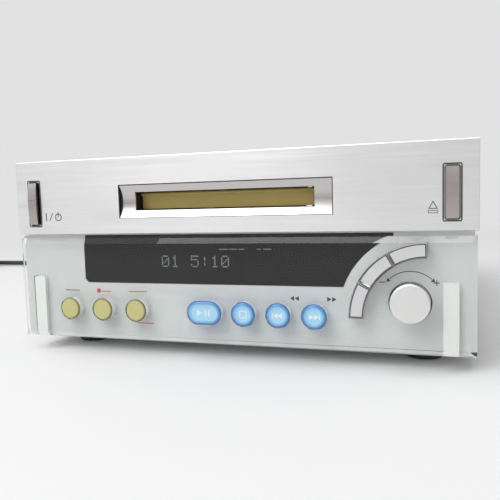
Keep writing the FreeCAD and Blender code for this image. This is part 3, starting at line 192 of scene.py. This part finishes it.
def clearAcrylic():
    # clear to the eye, and open to lamp and diffuse rays so that what lies behind is lit
    s = {
        "tint": (0.965, 0.99, 0.98), "passing": (0.975, 0.99, 0.983), "rough": 0.012, "index": 1.49,
        "dust": 0.10, "dustFrom": 0.62, "dustTo": 0.80, "smear": 0.012,
    }
    material, root = newMaterial("clearAcrylic")
    specks = noise(root, 900.0, 5.0, 0.7)
    smear = noise(root, 26.0, 4.0, 0.6)
    haze = root.add("MapRange", {}, {0: specks, 1: s["dustFrom"], 2: s["dustTo"], 3: 0.0, 4: s["dust"]})
    rough = haze + (smear - 0.5) * s["smear"] + s["rough"]
    bump = root.add("Bump", {}, {"Strength": 0.04, "Distance": 0.00002, "Height": smear})
    colour = mixColour(root, smear, s["tint"], [min(1.0, c * 1.02) for c in s["tint"]])
    solid = root.add("BsdfPrincipled", {}, {
        "Base Color": colour, "Roughness": rough, "IOR": s["index"],
        "Transmission Weight": 1.0, "Normal": bump,
    })
    passing = root.add("BsdfTransparent", {}, {"Color": s["passing"]})
    lightRay = root.calc("MAXIMUM", lightPath(root, "shadow"), lightPath(root, "diffuse"))
    finishMaterial(root, root.add("MixShader", {}, {0: lightRay, 1: solid, 2: passing}))
    return material


def laminated():
    # thin sheets stacked along X
    s = {"dark": (0.05, 0.045, 0.04), "light": (0.20, 0.19, 0.18), "sheets": 0.6, "cloud": 0.3, "rough": 0.35}
    material, root = newMaterial("coreLaminations")
    sheets = root.add("TexWave", {"bands_direction": "X"}, {
        "Vector": objectSpot(root), "Scale": 320.0, "Distortion": 0.4, "Detail": 1.0})
    cloud = noise(root, 60.0)
    colour = mixColour(root, sheets * s["sheets"] + cloud * s["cloud"], s["dark"], s["light"])
    bump = root.add("Bump", {}, {"Strength": 0.4, "Distance": 0.0001, "Height": sheets})
    finishMaterial(root, root.add("BsdfPrincipled", {}, {
        "Base Color": colour, "Metallic": 0.7, "Roughness": cloud * 0.3 + s["rough"], "Normal": bump}))
    return material


def boardFinish():
    # solder mask over a grid of tracks and pads
    s = {
        "mask": (0.012, 0.060, 0.022), "maskLight": (0.03, 0.13, 0.05), "track": (0.05, 0.22, 0.09),
        "pad": (0.55, 0.53, 0.48), "padReach": 0.22, "rough": 0.42,
    }
    material, root = newMaterial("boardMask")
    cells = root.add("TexBrick", {"offset": 0.5}, {
        "Vector": objectSpot(root), "Scale": 180.0, "Mortar Size": 0.06,
        "Color1": (0, 0, 0), "Color2": (0.2, 0.2, 0.2), "Mortar": (1, 1, 1)})
    spots = root.add("TexVoronoi", {"feature": "F1"}, {"Vector": objectSpot(root), "Scale": 260.0})
    pads = spots < s["padReach"]
    cloud = noise(root, 40.0)
    mask = mixColour(root, cloud * 0.6, s["mask"], s["maskLight"])
    tracks = mixColour(root, cells * 0.35, mask, s["track"])
    colour = mixColour(root, pads, tracks, s["pad"])
    finishMaterial(root, root.add("BsdfPrincipled", {}, {
        "Base Color": colour, "Metallic": pads * 0.9, "Roughness": s["rough"] - pads * 0.1 + cloud * 0.1}))
    return material


def socketFinish():
    # black housings whose barrels behind the rear panel are plated
    s = {"rearFace": 0.12515, "mould": (0.02, 0.02, 0.02), "plate": (0.72, 0.70, 0.62), "rough": 0.42}
    material, root = newMaterial("socketBarrels")
    outside = along(root, "Y") > s["rearFace"]
    grain = noise(root, 1500.0)
    colour = mixColour(root, outside, s["mould"], s["plate"])
    finishMaterial(root, root.add("BsdfPrincipled", {}, {
        "Base Color": colour, "Metallic": outside, "Roughness": s["rough"] - outside * 0.18 + grain * 0.08}))
    return material


def smokedWindow():
    # glossy black with faint smears
    s = {"dark": (0.004, 0.004, 0.005), "light": (0.014, 0.012, 0.012), "smear": 0.05, "rough": 0.05}
    material, root = newMaterial("smokedWindow")
    smear = noise(root, 34.0, 5.0, 0.6)
    colour = mixColour(root, smear, s["dark"], s["light"])
    rough = smear * s["smear"] + s["rough"]
    finishMaterial(root, root.add("BsdfPrincipled", {}, {
        "Base Color": colour, "Roughness": rough, "IOR": 1.5, "Coat Weight": 0.3, "Coat Roughness": 0.03}))
    return material


fasciaMetal = brushed("brushedFascia", {})
buttonMetal = brushed("brushedButtons", {"colour": (0.44, 0.40, 0.39), "rough": 0.30, "lines": 0.09})
bezelMetal = brushed("satinBezel", {"colour": (0.56, 0.54, 0.53), "rough": 0.24, "lines": 0.02, "bump": 0.1})
knobMetal = brushed("turnedKnob", {"colour": (0.80, 0.80, 0.79), "rough": 0.34, "lines": 0.03, "bump": 0.15})
acrylic = clearAcrylic()
windowBlack = smokedWindow()
panelPaint = coated("panelPaint", {
    "colour": (0.86, 0.87, 0.865), "rough": 0.36, "metal": 0.2, "speckle": 0.10, "grain": 9000.0,
    "cloud": 0.02, "bump": 0.03})
arcPaint = coated("arcKeyPaint", {
    "colour": (0.64, 0.64, 0.65), "rough": 0.36, "metal": 0.3, "speckle": 0.08, "grain": 9000.0})
doorOlive = coated("oliveDoor", {
    "colour": (0.50, 0.38, 0.10), "rough": 0.33, "speckle": 0.03, "cloud": 0.08, "bump": 0.03})
postWhite = coated("postWhite", {"colour": (0.83, 0.83, 0.76), "rough": 0.42, "speckle": 0.02})
gearWhite = coated("gearWhite", {"colour": (0.80, 0.80, 0.76), "rough": 0.40, "speckle": 0.02})
plainSteel = coated("plainSteel", {
    "colour": (0.60, 0.60, 0.60), "rough": 0.26, "metal": 1.0, "speckle": 0.04, "stretch": (1, 1, 0.05)})
zincSteel = coated("zincSteel", {
    "colour": (0.62, 0.63, 0.60), "rough": 0.34, "metal": 1.0, "cloud": 0.14, "cloudScale": 90.0})
coverPaint = coated("coverPaint", {
    "colour": (0.52, 0.52, 0.51), "rough": 0.52, "metal": 0.15, "speckle": 0.10, "grain": 2600.0,
    "bump": 0.35, "depth": 0.00006})
blackMould = coated("blackMould", {
    "colour": (0.028, 0.028, 0.028), "rough": 0.50, "bump": 0.25, "grain": 3000.0})
finMetal = coated("finMetal", {
    "colour": (0.68, 0.68, 0.68), "rough": 0.36, "metal": 1.0, "stretch": (1, 1, 0.03)})
windingTape = coated("windingTape", {"colour": (0.60, 0.45, 0.10), "rough": 0.28, "cloud": 0.12})
footRubber = coated("footRubber", {
    "colour": (0.035, 0.035, 0.035), "rough": 0.72, "bump": 0.3, "grain": 2200.0})
cordRubber = coated("cordJacket", {
    "colour": (0.022, 0.022, 0.024), "rough": 0.48, "bump": 0.2, "grain": 2600.0, "wear": 0.0})
bladeMetal = coated("bladeMetal", {
    "colour": (0.74, 0.71, 0.63), "rough": 0.22, "metal": 1.0, "stretch": (1, 0.05, 1)})
tubeGlass = coated("tubeGlass", {
    "colour": (0.05, 0.06, 0.06), "rough": 0.10, "speckle": 0.01, "bump": 0.0})
laminations = laminated()
boardMask = boardFinish()
socketBarrels = socketFinish()


def keyFinish(name, x, settings):
    # pale centre that deepens towards the rim, a painted shade of the key's sides and the gap round it,
    # measured from the key's own middle, with a painted glow of its own colour
    s = {
        "rim": (0.05, 0.19, 0.50), "face": (0.34, 0.62, 0.78), "z": 0.0199, "straight": 0.0,
        "from": 0.0027, "to": 0.0044, "glow": 0.10, "rough": 0.16, "coat": 0.4,
    }
    s.update(settings)
    material, root = newMaterial(name)
    across = root.calc("ABSOLUTE", along(root, "X") - x) - s["straight"] / 2
    across = root.calc("MAXIMUM", across, 0.0)
    rise = along(root, "Z") - s["z"]
    reach = root.calc("SQRT", across * across + rise * rise)
    # painted shade: darker from the face out to the rim
    edge = smoothStep(root, reach, s["from"], s["to"])
    cloud = noise(root, 300.0, 3.0, 0.5)
    colour = mixColour(root, edge * 0.92 + cloud * 0.08, s["face"], s["rim"])
    bump = root.add("Bump", {}, {"Strength": 0.05, "Distance": 0.00003, "Height": cloud})
    # painted glow: the key's colour given off as light at the glow strength
    finishMaterial(root, root.add("BsdfPrincipled", {}, {
        "Base Color": colour, "Roughness": cloud * 0.1 + s["rough"], "IOR": 1.49, "Normal": bump,
        "Emission Color": colour, "Emission Strength": s["glow"],
        "Coat Weight": s["coat"], "Coat Roughness": 0.05}))
    return material


keyColumns = {
    "play_pause_key": (-0.0074, {"straight": 0.005}), "stop_key": (0.009, {}),
    "rewind_key": (0.02305, {}), "forward_key": (0.0371, {}),
}
agedCapsShadedRim = {  # clouded white caps, their dark rim a painted shadow of the gap round them
    "face": (0.56, 0.52, 0.23), "rim": (0.17, 0.14, 0.045), "from": 0.0036, "to": 0.0046,
    "glow": 0.0, "rough": 0.28, "coat": 0.1,
}
for name, x in (("sync_key", -0.0379), ("record_key", -0.0537), ("display_key", -0.0695)):
    keyColumns[name] = (x, agedCapsShadedRim)


def shadeHoleWalls(name, base, hole):
    # a finish whose walls behind the hole's depth, inside its bounds, are painted near-black as shade in the
    # hole
    material = base.copy()
    material.name = name
    root = Wire(material.node_tree)
    output = next(n for n in material.node_tree.nodes if n.type == "OUTPUT_MATERIAL")
    shader = Wire(material.node_tree, output.inputs["Surface"].links[0].from_socket)
    material.node_tree.nodes.remove(output)
    z = along(root, "Z")
    within = root.calc("ABSOLUTE", along(root, "X")) < hole["halfWide"]
    inside = (along(root, "Y") > hole["depth"]) * within * (z > hole["low"]) * (z < hole["high"])
    # painted shade: near-black on the hole walls
    paintedShade = root.add("BsdfPrincipled", {}, {"Base Color": (0.012, 0.011, 0.010), "Roughness": 0.6})
    finishMaterial(root, root.add("MixShader", {}, {0: inside, 1: shader, 2: paintedShade}))
    return material


fasciaHoleShade = shadeHoleWalls("fasciaHoleShade", fasciaMetal, {
    "halfWide": 0.0935, "low": 0.0527, "high": 0.0825, "depth": -0.1268})
bezelHoleShade = shadeHoleWalls("bezelHoleShade", bezelMetal, {
    "halfWide": 0.0385, "low": 0.0600, "high": 0.0700, "depth": -0.1249})

finishes = {
    "acrylic_front": acrylic, "display_window": windowBlack, "upper_fascia": fasciaHoleShade,
    "slot_bezel": bezelHoleShade, "slot_door": doorOlive, "left_post": postWhite, "right_post": postWhite,
    "lower_panel": panelPaint, "power_button": buttonMetal, "eject_button": buttonMetal,
    "clear_key": arcPaint, "enter_key": arcPaint, "menu_key": arcPaint, "jog_knob": knobMetal,
    "encoder_shaft": plainSteel,
    "front_circuit_board": boardMask, "main_circuit_board": boardMask, "side_switches": boardMask,
    "tact_switches": blackMould, "display_tube": tubeGlass, "rotary_encoder": plainSteel,
    "bottom_chassis": zincSteel, "top_cover": coverPaint, "rear_panel": coverPaint,
    "phono_jacks": socketBarrels, "optical_sockets": blackMould, "filter_capacitors": blackMould,
    "signal_chips": blackMould, "heatsink": finMetal, "transformer_core": laminations,
    "transformer_winding": windingTape, "mechanism_chassis": zincSteel, "mechanism_legs": zincSteel,
    "guide_rods": plainSteel, "optical_pickup": blackMould, "sled_gear": gearWhite, "sled_motor": plainSteel,
    "spindle_motor": plainSteel, "turntable": knobMetal, "cartridge_holder": zincSteel,
    "loading_slide": gearWhite, "loading_gear": gearWhite, "loading_motor": plainSteel,
    "write_head_arm": plainSteel, "feet": footRubber, "cover_screws": plainSteel,
    "cord_strain_relief": cordRubber, "mains_cord": cordRubber, "cord_coil": cordRubber,
    "cord_tie": gearWhite, "plug_body": cordRubber, "plug_blades": bladeMetal,
}
for name, (x, look) in keyColumns.items():
    finishes[name] = keyFinish(name + "Cap", x, look)
for name, material in finishes.items():
    mesh = nodes[name].data
    mesh.materials.clear()
    mesh.materials.append(material)
print("finishes on", len(finishes), "nodes; bare:", sorted(set(nodes) - set(finishes)))


def clearSelection():
    if bpy.context.mode != "OBJECT":
        bpy.ops.object.mode_set(mode="OBJECT")
    bpy.ops.object.select_all(action="DESELECT")


def beginPiece(name):
    clearSelection()
    bpy.ops.object.add(type="MESH", location=(0, 0, 0))
    piece = bpy.context.object
    piece.name = name
    piece.data.name = name
    bpy.ops.object.mode_set(mode="EDIT")
    return piece


def endPiece(piece, material, body, thick=0.0):
    bpy.ops.object.mode_set(mode="OBJECT")
    if thick:
        solid = piece.modifiers.new("thickness", "SOLIDIFY")
        solid.thickness = thick
        solid.offset = -1
        bpy.ops.object.modifier_apply(modifier=solid.name)
    piece.data.materials.append(material)
    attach(piece, body)
    clearSelection()
    return piece


facing = (math.pi / 2, 0, 0)  # turns a flat shape to face the front


def bar(x, z, wide, high, y, slant=0.0):
    spot = (x * mm, y, z * mm)
    bpy.ops.mesh.primitive_plane_add(size=1, location=spot, rotation=facing)
    bpy.ops.transform.resize(value=(wide * mm, 1, high * mm), center_override=spot)
    if slant:
        bpy.ops.transform.rotate(value=math.radians(slant), orient_axis="Y", center_override=spot)


def polarBar(centre, radius, angle, wide, high, y):
    # a bar at this angle in degrees round a centre, its width along the radius
    turn = math.radians(angle)
    x = centre[0] + radius * math.cos(turn)
    z = centre[1] + radius * math.sin(turn)
    bar(x, z, wide, high, y, angle)


def disc(x, z, radius, y, sides=32):
    bpy.ops.mesh.primitive_circle_add(
        vertices=sides, radius=radius * mm, fill_type="NGON", location=(x * mm, y, z * mm), rotation=facing)


def hollow(wide):
    # leaves only a rim of the shape just added
    bpy.ops.mesh.inset(thickness=wide * mm)
    bpy.ops.mesh.delete(type="FACE")


def ring(x, z, radius, wide, y, sides=40):
    disc(x, z, radius, y, sides)
    hollow(wide)


def triangle(x, z, reach, y, turn):
    # an arrow head that points along turn, in degrees from +X towards +Z
    bpy.ops.mesh.primitive_circle_add(
        vertices=3, radius=reach * mm, fill_type="NGON", location=(x * mm, y, z * mm),
        rotation=(math.pi / 2, math.radians(90 - turn), 0))


def inkFinish(name, colour, settings=None):
    look = {"colour": colour, "rough": 0.5, "speckle": 0.03, "grain": 6000.0, "wear": 0.0, "bump": 0.02}
    look.update(settings or {})
    return coated(name, look)


# black print, also used for the painted shadow lines of gaps
blackPrintAndShade = inkFinish("blackPrintAndShade", (0.03, 0.03, 0.035))
greyInk = inkFinish("greyInk", (0.12, 0.12, 0.13))
redInk = inkFinish("redInk", (0.62, 0.03, 0.04))
paleInk = inkFinish("paleInk", (0.80, 0.93, 0.97))
dimInk = inkFinish("dimInk", (0.10, 0.115, 0.115))
litDots = inkFinish("litDots", (0.20, 0.235, 0.225), {
    "extra": {"Emission Color": (0.5, 0.62, 0.58, 1), "Emission Strength": 0.05}})

ink = 0.03 * mm
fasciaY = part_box("upper_fascia")[0][1] - ink
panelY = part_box("lower_panel")[0][1] - ink
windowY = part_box("display_window")[0][1] - ink
slabTop = 50.0
fasciaLow = 51.7

powerMark = {
    "x": -80.5, "z": fasciaLow + 7.6, "line": (0.5, 3.5), "slash": (2.5, 0.4, 3.9, -27),
    "ringX": 6.1, "ringDrop": 0.2, "radius": 1.65, "wide": 0.42, "tick": (1.0, 0.45, 1.9),
}
piece = beginPiece("power_mark")
x, z = powerMark["x"], powerMark["z"]
bar(x, z, *powerMark["line"], fasciaY)
step, wide, high, slant = powerMark["slash"]
bar(x + step, z, wide, high, fasciaY, slant)
ring(x + powerMark["ringX"], z - powerMark["ringDrop"], powerMark["radius"], powerMark["wide"], fasciaY)
rise, wide, high = powerMark["tick"]
bar(x + powerMark["ringX"], z + rise, wide, high, fasciaY - ink)
endPiece(piece, greyInk, "deck", ink)

ejectMark = {
    "x": 79.7, "z": fasciaLow + 8.7, "reach": 1.95, "rim": 0.33, "line": 0.25,
    "frameRise": 0.4, "frameWide": 3.4, "frameSide": 1.6, "frameHigh": 1.0,
}
piece = beginPiece("eject_mark")
x, z = ejectMark["x"], ejectMark["z"]
triangle(x, z, ejectMark["reach"], fasciaY, 90)
hollow(ejectMark["rim"])
z -= ejectMark["reach"]
for side in (-1, 1):
    bar(x, z + side * ejectMark["frameRise"], ejectMark["frameWide"], ejectMark["line"], fasciaY)
for side in (-1, 1):
    bar(x + side * ejectMark["frameSide"], z, ejectMark["line"], ejectMark["frameHigh"], fasciaY)
endPiece(piece, greyInk, "deck", ink)

# painted shadow lines in the gaps round the side buttons and the slot's bezel
gaps = {
    "side": 86.1, "wide": 5.62, "low": 55.42, "high": 74.68, "line": 0.5,
    "bezelWide": 88.6, "bezelLow": 58.4, "bezelHigh": 71.6, "bezelOut": 0.15, "bezelLine": 0.35,
    "bezelOver": 0.6, "top": (0.2, 0.5, 0.45), "foot": (-0.1, 0.3, 0.2),
}
piece = beginPiece("gap_shadow_lines")
line, high = gaps["line"], gaps["high"] - gaps["low"]
bezelHigh = gaps["bezelHigh"] - gaps["bezelLow"]
for side in (-1, 1):
    x = gaps["side"] * side
    for edge in (-1, 1):
        bar(x + edge * (gaps["wide"] + line) / 2, (gaps["low"] + gaps["high"]) / 2, line, high, fasciaY)
    for z in (gaps["low"] - line / 2, gaps["high"] + line / 2):
        bar(x, z, gaps["wide"] + line, line, fasciaY)
    bar(
        (gaps["bezelWide"] / 2 + gaps["bezelOut"]) * side, (gaps["bezelLow"] + gaps["bezelHigh"]) / 2,
        gaps["bezelLine"], bezelHigh + gaps["bezelOver"], fasciaY)
for z, (rise, over, line) in ((gaps["bezelHigh"], gaps["top"]), (gaps["bezelLow"], gaps["foot"])):
    bar(0, z + rise, gaps["bezelWide"] + over, line, fasciaY)
endPiece(piece, blackPrintAndShade, "deck", ink)

panelMarks = {
    "arrowDrop": 23.9, "arrowReach": 1.1, "arrowStep": 0.95, "rewindX": 29.1, "forwardX": 43.0,
    "signDrop": 17.0, "signWide": 2.1, "line": 0.35, "minusX": 62.0, "plusX": 80.9,
}
turnMark = {
    "centre": (71.9, 26.2), "radius": 10.9, "from": 52, "step": 7.6, "count": 11, "line": 0.32,
    "run": 1.5, "headReach": 0.95, "heads": ((136, 222), (44, -42)),
}
piece = beginPiece("panel_arrows")
z = slabTop - panelMarks["arrowDrop"]
for x, turn in ((panelMarks["rewindX"], 180), (panelMarks["forwardX"], 0)):
    for side in (-1, 1):
        triangle(x + side * panelMarks["arrowStep"], z, panelMarks["arrowReach"], panelY, turn)
z = slabTop - panelMarks["signDrop"]
for x in (panelMarks["minusX"], panelMarks["plusX"]):
    bar(x, z, panelMarks["signWide"], panelMarks["line"], panelY)
bar(panelMarks["plusX"], z, panelMarks["line"], panelMarks["signWide"], panelY)
for i in range(turnMark["count"]):  # turning arrow over the knob
    angle = turnMark["from"] + i * turnMark["step"]
    polarBar(turnMark["centre"], turnMark["radius"], angle, turnMark["line"], turnMark["run"], panelY)
for angle, turn in turnMark["heads"]:
    x = turnMark["centre"][0] + turnMark["radius"] * math.cos(math.radians(angle))
    z = turnMark["centre"][1] + turnMark["radius"] * math.sin(math.radians(angle))
    triangle(x, z, turnMark["headReach"], panelY, turn)
endPiece(piece, blackPrintAndShade, "deck", ink)

# plain bars in the place of words: middle, drop below the slab's top, and width
wordBars = {"high": 0.35, "record": ((-53.5, 22.9, 4.6), (-38.6, 22.7, 8.6), (-35.6, 36.0, 7.6))}
recordDot = {"x": -57.2, "drop": 22.7, "radius": 1.0}
piece = beginPiece("record_marks")
disc(recordDot["x"], slabTop - recordDot["drop"], recordDot["radius"], panelY)
for x, drop, wide in wordBars["record"]:
    bar(x, slabTop - drop, wide, wordBars["high"], panelY)
endPiece(piece, redInk, "deck", ink)

displayBar = {"x": -70.2, "drop": 22.7, "wide": 7.4}
piece = beginPiece("display_key_mark")
bar(displayBar["x"], slabTop - displayBar["drop"], displayBar["wide"], wordBars["high"], panelY)
endPiece(piece, greyInk, "deck", ink)

# five by seven dot characters: a track number and a running time
dotRows = {
    "0": ("01110", "10001", "10011", "10101", "11001", "10001", "01110"),
    "1": ("00100", "01100", "00100", "00100", "00100", "00100", "01110"),
    "5": ("11111", "10000", "11110", "00001", "00001", "10001", "01110"),
    ":": ("00000", "00100", "00100", "00000", "00100", "00100", "00000"),
    " ": ("00000",) * 7,
}
reading = {"text": "01 5:10", "left": -26.6, "top": slabTop - 7.7, "cell": 4.35, "pitch": 0.70, "dot": 0.46}
piece = beginPiece("display_digits")
for place, letter in enumerate(reading["text"]):
    for row, bits in enumerate(dotRows[letter]):
        for column, bit in enumerate(bits):
            if bit == "1":
                bar(
                    reading["left"] + place * reading["cell"] + column * reading["pitch"],
                    reading["top"] - row * reading["pitch"], reading["dot"], reading["dot"], windowY)
endPiece(piece, litDots, "deck", ink)

windowBars = {
    "drop": 4.9, "high": 0.5, "bars": ((0.4, 3.6), (4.4, 3.0), (7.9, 2.4), (15.0, 1.6), (18.4, 3.2)),
}
piece = beginPiece("window_marks")
for x, wide in windowBars["bars"]:
    bar(x, slabTop - windowBars["drop"], wide, windowBars["high"], windowY)
endPiece(piece, dimInk, "deck", ink)

# symbols on the blue keys: kind, middle, then reach and turn, width and height, or half width
keyMarks = {
    "play_pause_key": (("triangle", -9.6, 1.5, 0), ("bar", -6.7, 0.7, 2.4), ("bar", -5.2, 0.7, 2.4)),
    "stop_key": (("box", 9.0, 1.3),),
    "rewind_key": (("triangle", 22.45, 1.2, 180), ("triangle", 24.25, 1.2, 180), ("bar", 20.95, 0.4, 2.0)),
    "forward_key": (("triangle", 35.9, 1.2, 0), ("triangle", 37.7, 1.2, 0), ("bar", 39.2, 0.4, 2.0)),
}
keyFaceY = -129.07 * mm
rowZ = 19.9
boxLine = 0.4
for key, shapes in keyMarks.items():
    piece = beginPiece(key + "_mark")
    for kind, x, *rest in shapes:
        if kind == "triangle":
            triangle(x, rowZ, rest[0], keyFaceY, rest[1])
        elif kind == "bar":
            bar(x, rowZ, rest[0], rest[1], keyFaceY)
        else:
            half = rest[0]
            span = half * 2 + boxLine
            for side in (-1, 1):
                bar(x + side * half, rowZ, boxLine, span, keyFaceY)
            for side in (-1, 1):
                bar(x, rowZ + side * half, span, boxLine, keyFaceY)
    endPiece(piece, paleInk, key, ink)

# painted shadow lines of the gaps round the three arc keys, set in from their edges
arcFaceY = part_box("menu_key")[0][1] - ink
arc = {
    "centre": (77.6, 20.1), "inner": 22.3, "outer": 27.4, "inset": 0.3, "line": 0.38, "sides": 14,
    "overlap": 0.06, "endGap": 0.7, "endBar": 0.8, "short": 0.5,
}
arcEnds = (("clear_key", 90.0, 119.5), ("enter_key", 120.5, 150.5), ("menu_key", 151.5, 180.0))
for key, start, end in arcEnds:
    piece = beginPiece(key + "_outline")
    step = (end - start - 2 * arc["endGap"]) / arc["sides"]
    for radius in (arc["inner"] + arc["inset"], arc["outer"] - arc["inset"]):
        for i in range(arc["sides"]):
            angle = start + arc["endGap"] + step * (i + 0.5)
            run = radius * math.radians(step) + arc["overlap"]
            polarBar(arc["centre"], radius, angle, arc["line"], run, arcFaceY)
    # painted shadow: black bars where the key meets the gap
    for angle in (start + arc["endBar"], end - arc["endBar"]):
        span = arc["outer"] - arc["inner"] - arc["short"]
        polarBar(arc["centre"], (arc["inner"] + arc["outer"]) / 2, angle, span, arc["line"], arcFaceY)
    endPiece(piece, blackPrintAndShade, key, ink)
print("printed marks made")

lead = {
    "diameter": 4.5, "length": 1.39, "centre": (-392.0, 138.5), "outer": 32.1, "inner": 18.5, "low": 3.2,
    "startAngle": 75.0, "turns": 3.02, "climb": 0.25, "perTurn": 24,
}
leadRoute = [
    (-78.0, 151.0, 26.0), (-78.6, 173.0, 23.0), (-87.0, 196.0, 7.4), (-111.0, 213.0, 3.0),
    (-148.0, 214.0, 2.9), (-196.0, 203.0, 3.0), (-247.0, 193.0, 2.9), (-296.0, 178.0, 3.0),
    (-340.0, 170.0, 3.2), (-372.0, 170.6, 3.2),
]


def coilPoint(turn):
    # wound inwards on the table, up one diameter, then outwards on top
    spread, climb = lead["turns"], lead["climb"]
    pitch = (lead["outer"] - lead["inner"]) / spread
    if turn < spread:
        radius, height = lead["outer"] - pitch * turn, 0.0
    elif turn < spread + climb:
        radius, height = lead["inner"], (turn - spread) / climb
    else:
        radius, height = lead["inner"] + pitch * (turn - spread - climb), 1.0
    angle = math.radians(lead["startAngle"]) + turn * 2 * math.pi
    x, y = lead["centre"]
    z = lead["low"] + height * lead["diameter"]
    return (x + radius * math.cos(angle), y + radius * math.sin(angle), z)


leadPoints = list(leadRoute)
total = lead["turns"] * 2 + lead["climb"]
count = round(total * lead["perTurn"])
leadPoints += [coilPoint(total * i / count) for i in range(1, count + 1)]
plugX = lead["centre"][0] - lead["outer"]
leadPoints += [(plugX, 126.0, 7.6), (plugX, 114.0, 7.2), (plugX, 99.5, 7.0)]

curve = bpy.data.curves.new("mainsLead", "CURVE")
curve.dimensions = "3D"
spline = curve.splines.new("NURBS")
spline.points.add(len(leadPoints) - 1)
for point, place in zip(spline.points, leadPoints):
    point.co = (*[c * mm for c in place], 1)
spline.order_u = 3
spline.use_endpoint_u = True
curve.bevel_depth = lead["diameter"] / 2 * mm
curve.bevel_resolution = 5
curve.resolution_u = 4
mainsLead = bpy.data.objects.new("mains_lead", curve)
bpy.context.scene.collection.objects.link(mainsLead)
curve.materials.append(cordRubber)
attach(mainsLead, "deck")
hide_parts("mains_cord", "cord_coil")
print("mains lead laid,", len(leadPoints), "points")

studio = {
    "floorColour": (0.87, 0.87, 0.875), "worldLight": 0.50, "seen": (0.76, 0.76, 0.765), "size": 60.0,
    "fadeFrom": 0.25, "fadeTo": 0.95, "mottle": 0.995,
}
clearSelection()
bpy.ops.mesh.primitive_plane_add(size=studio["size"], location=(0, 0, 0))
floor = bpy.context.object
floor.name = "studio_floor"
material, root = newMaterial("paleFloor")
mottle = noise(root, 3.0, 2.0, 0.4)
duller = [c * studio["mottle"] for c in studio["floorColour"]]
plain = root.add("BsdfPrincipled", {}, {
    "Base Color": mixColour(root, mottle, studio["floorColour"], duller),
    "Roughness": 0.7, "Specular IOR Level": 0.2})
far = root.add("VectorMath", {"operation": "LENGTH"}, {0: objectPlace(root)}, output=1)
fade = smoothStep(root, far, studio["fadeFrom"], studio["fadeTo"])
glow = root.add("Emission", {}, {"Color": studio["seen"], "Strength": 1.0})
finishMaterial(root, root.add("MixShader", {}, {0: fade * seenDirectly(root), 1: plain, 2: glow}))
floor.data.materials.append(material)

world = bpy.data.worlds.new("softRoom")
bpy.context.scene.world = world
world.use_nodes = True
world.node_tree.nodes.clear()
root = Wire(world.node_tree)
room = root.add("Background", {}, {"Color": (1, 1, 1), "Strength": studio["worldLight"]})
# what metal facing the front mirrors: dim low down and bright higher up
way = root.add("TexCoord", output=0)
rise = {"from": 0.0, "to": 0.45, "dim": 0.34, "bright": 1.35}
level = root.add("MapRange", {}, {
    0: along(root, "Z", way), 1: rise["from"], 2: rise["to"], 3: rise["dim"], 4: rise["bright"]})
mirrored = (along(root, "Y", way) < 0.0) * lightPath(root, "glossy")
strength = 1 - mirrored * (1 - level)
backdrop = root.add("Background", {}, {"Color": studio["seen"], "Strength": strength})
both = root.add("MixShader", {}, {0: seenDirectly(root), 1: room, 2: backdrop})
root.add("OutputWorld", {}, {"Surface": both})

lamps = {
    "overhead": {"place": (-0.2, -0.45, 1.5), "energy": 9.5, "size": 1.2},
    "front": {"place": (-0.75, -1.25, 1.15), "energy": 12.0, "size": 1.0},
}
lampTarget = (0, 0, 0.03)
for name, s in lamps.items():
    lamp = bpy.data.lights.new(name, "AREA")
    lamp.energy = s["energy"]
    lamp.size = s["size"]
    holder = bpy.data.objects.new(name, lamp)
    bpy.context.scene.collection.objects.link(holder)
    holder.location = s["place"]
    way = Vector(lampTarget) - Vector(s["place"])
    holder.rotation_euler = way.to_track_quat("-Z", "Y").to_euler()

# the photograph's view, 500 by 500
view = {
    "place": (0.0821, -0.3408, 0.0651), "yaw": -18.14, "pitch": 5.11, "roll": -1.65, "lens": 42.0,
    "sensor": 36.0,
}
yaw, pitch, roll = (math.radians(view[k]) for k in ("yaw", "pitch", "roll"))
ahead = Vector((math.sin(yaw) * math.cos(pitch), math.cos(yaw) * math.cos(pitch), -math.sin(pitch)))
right = Vector((math.cos(yaw), -math.sin(yaw), 0))
up = right.cross(ahead)
rolledRight = math.cos(roll) * right + math.sin(roll) * up
rolledUp = -math.sin(roll) * right + math.cos(roll) * up
cameraData = bpy.data.cameras.new("camera")
cameraData.lens = view["lens"]
cameraData.sensor_width = view["sensor"]
camera = bpy.data.objects.new("camera", cameraData)
bpy.context.scene.collection.objects.link(camera)
camera.matrix_world = Matrix.Translation(view["place"]) @ Matrix(
    (rolledRight, rolledUp, -ahead)).transposed().to_4x4()
bpy.context.scene.camera = camera
bpy.context.scene.view_settings.view_transform = "Standard"
print("floor, lights and camera placed")
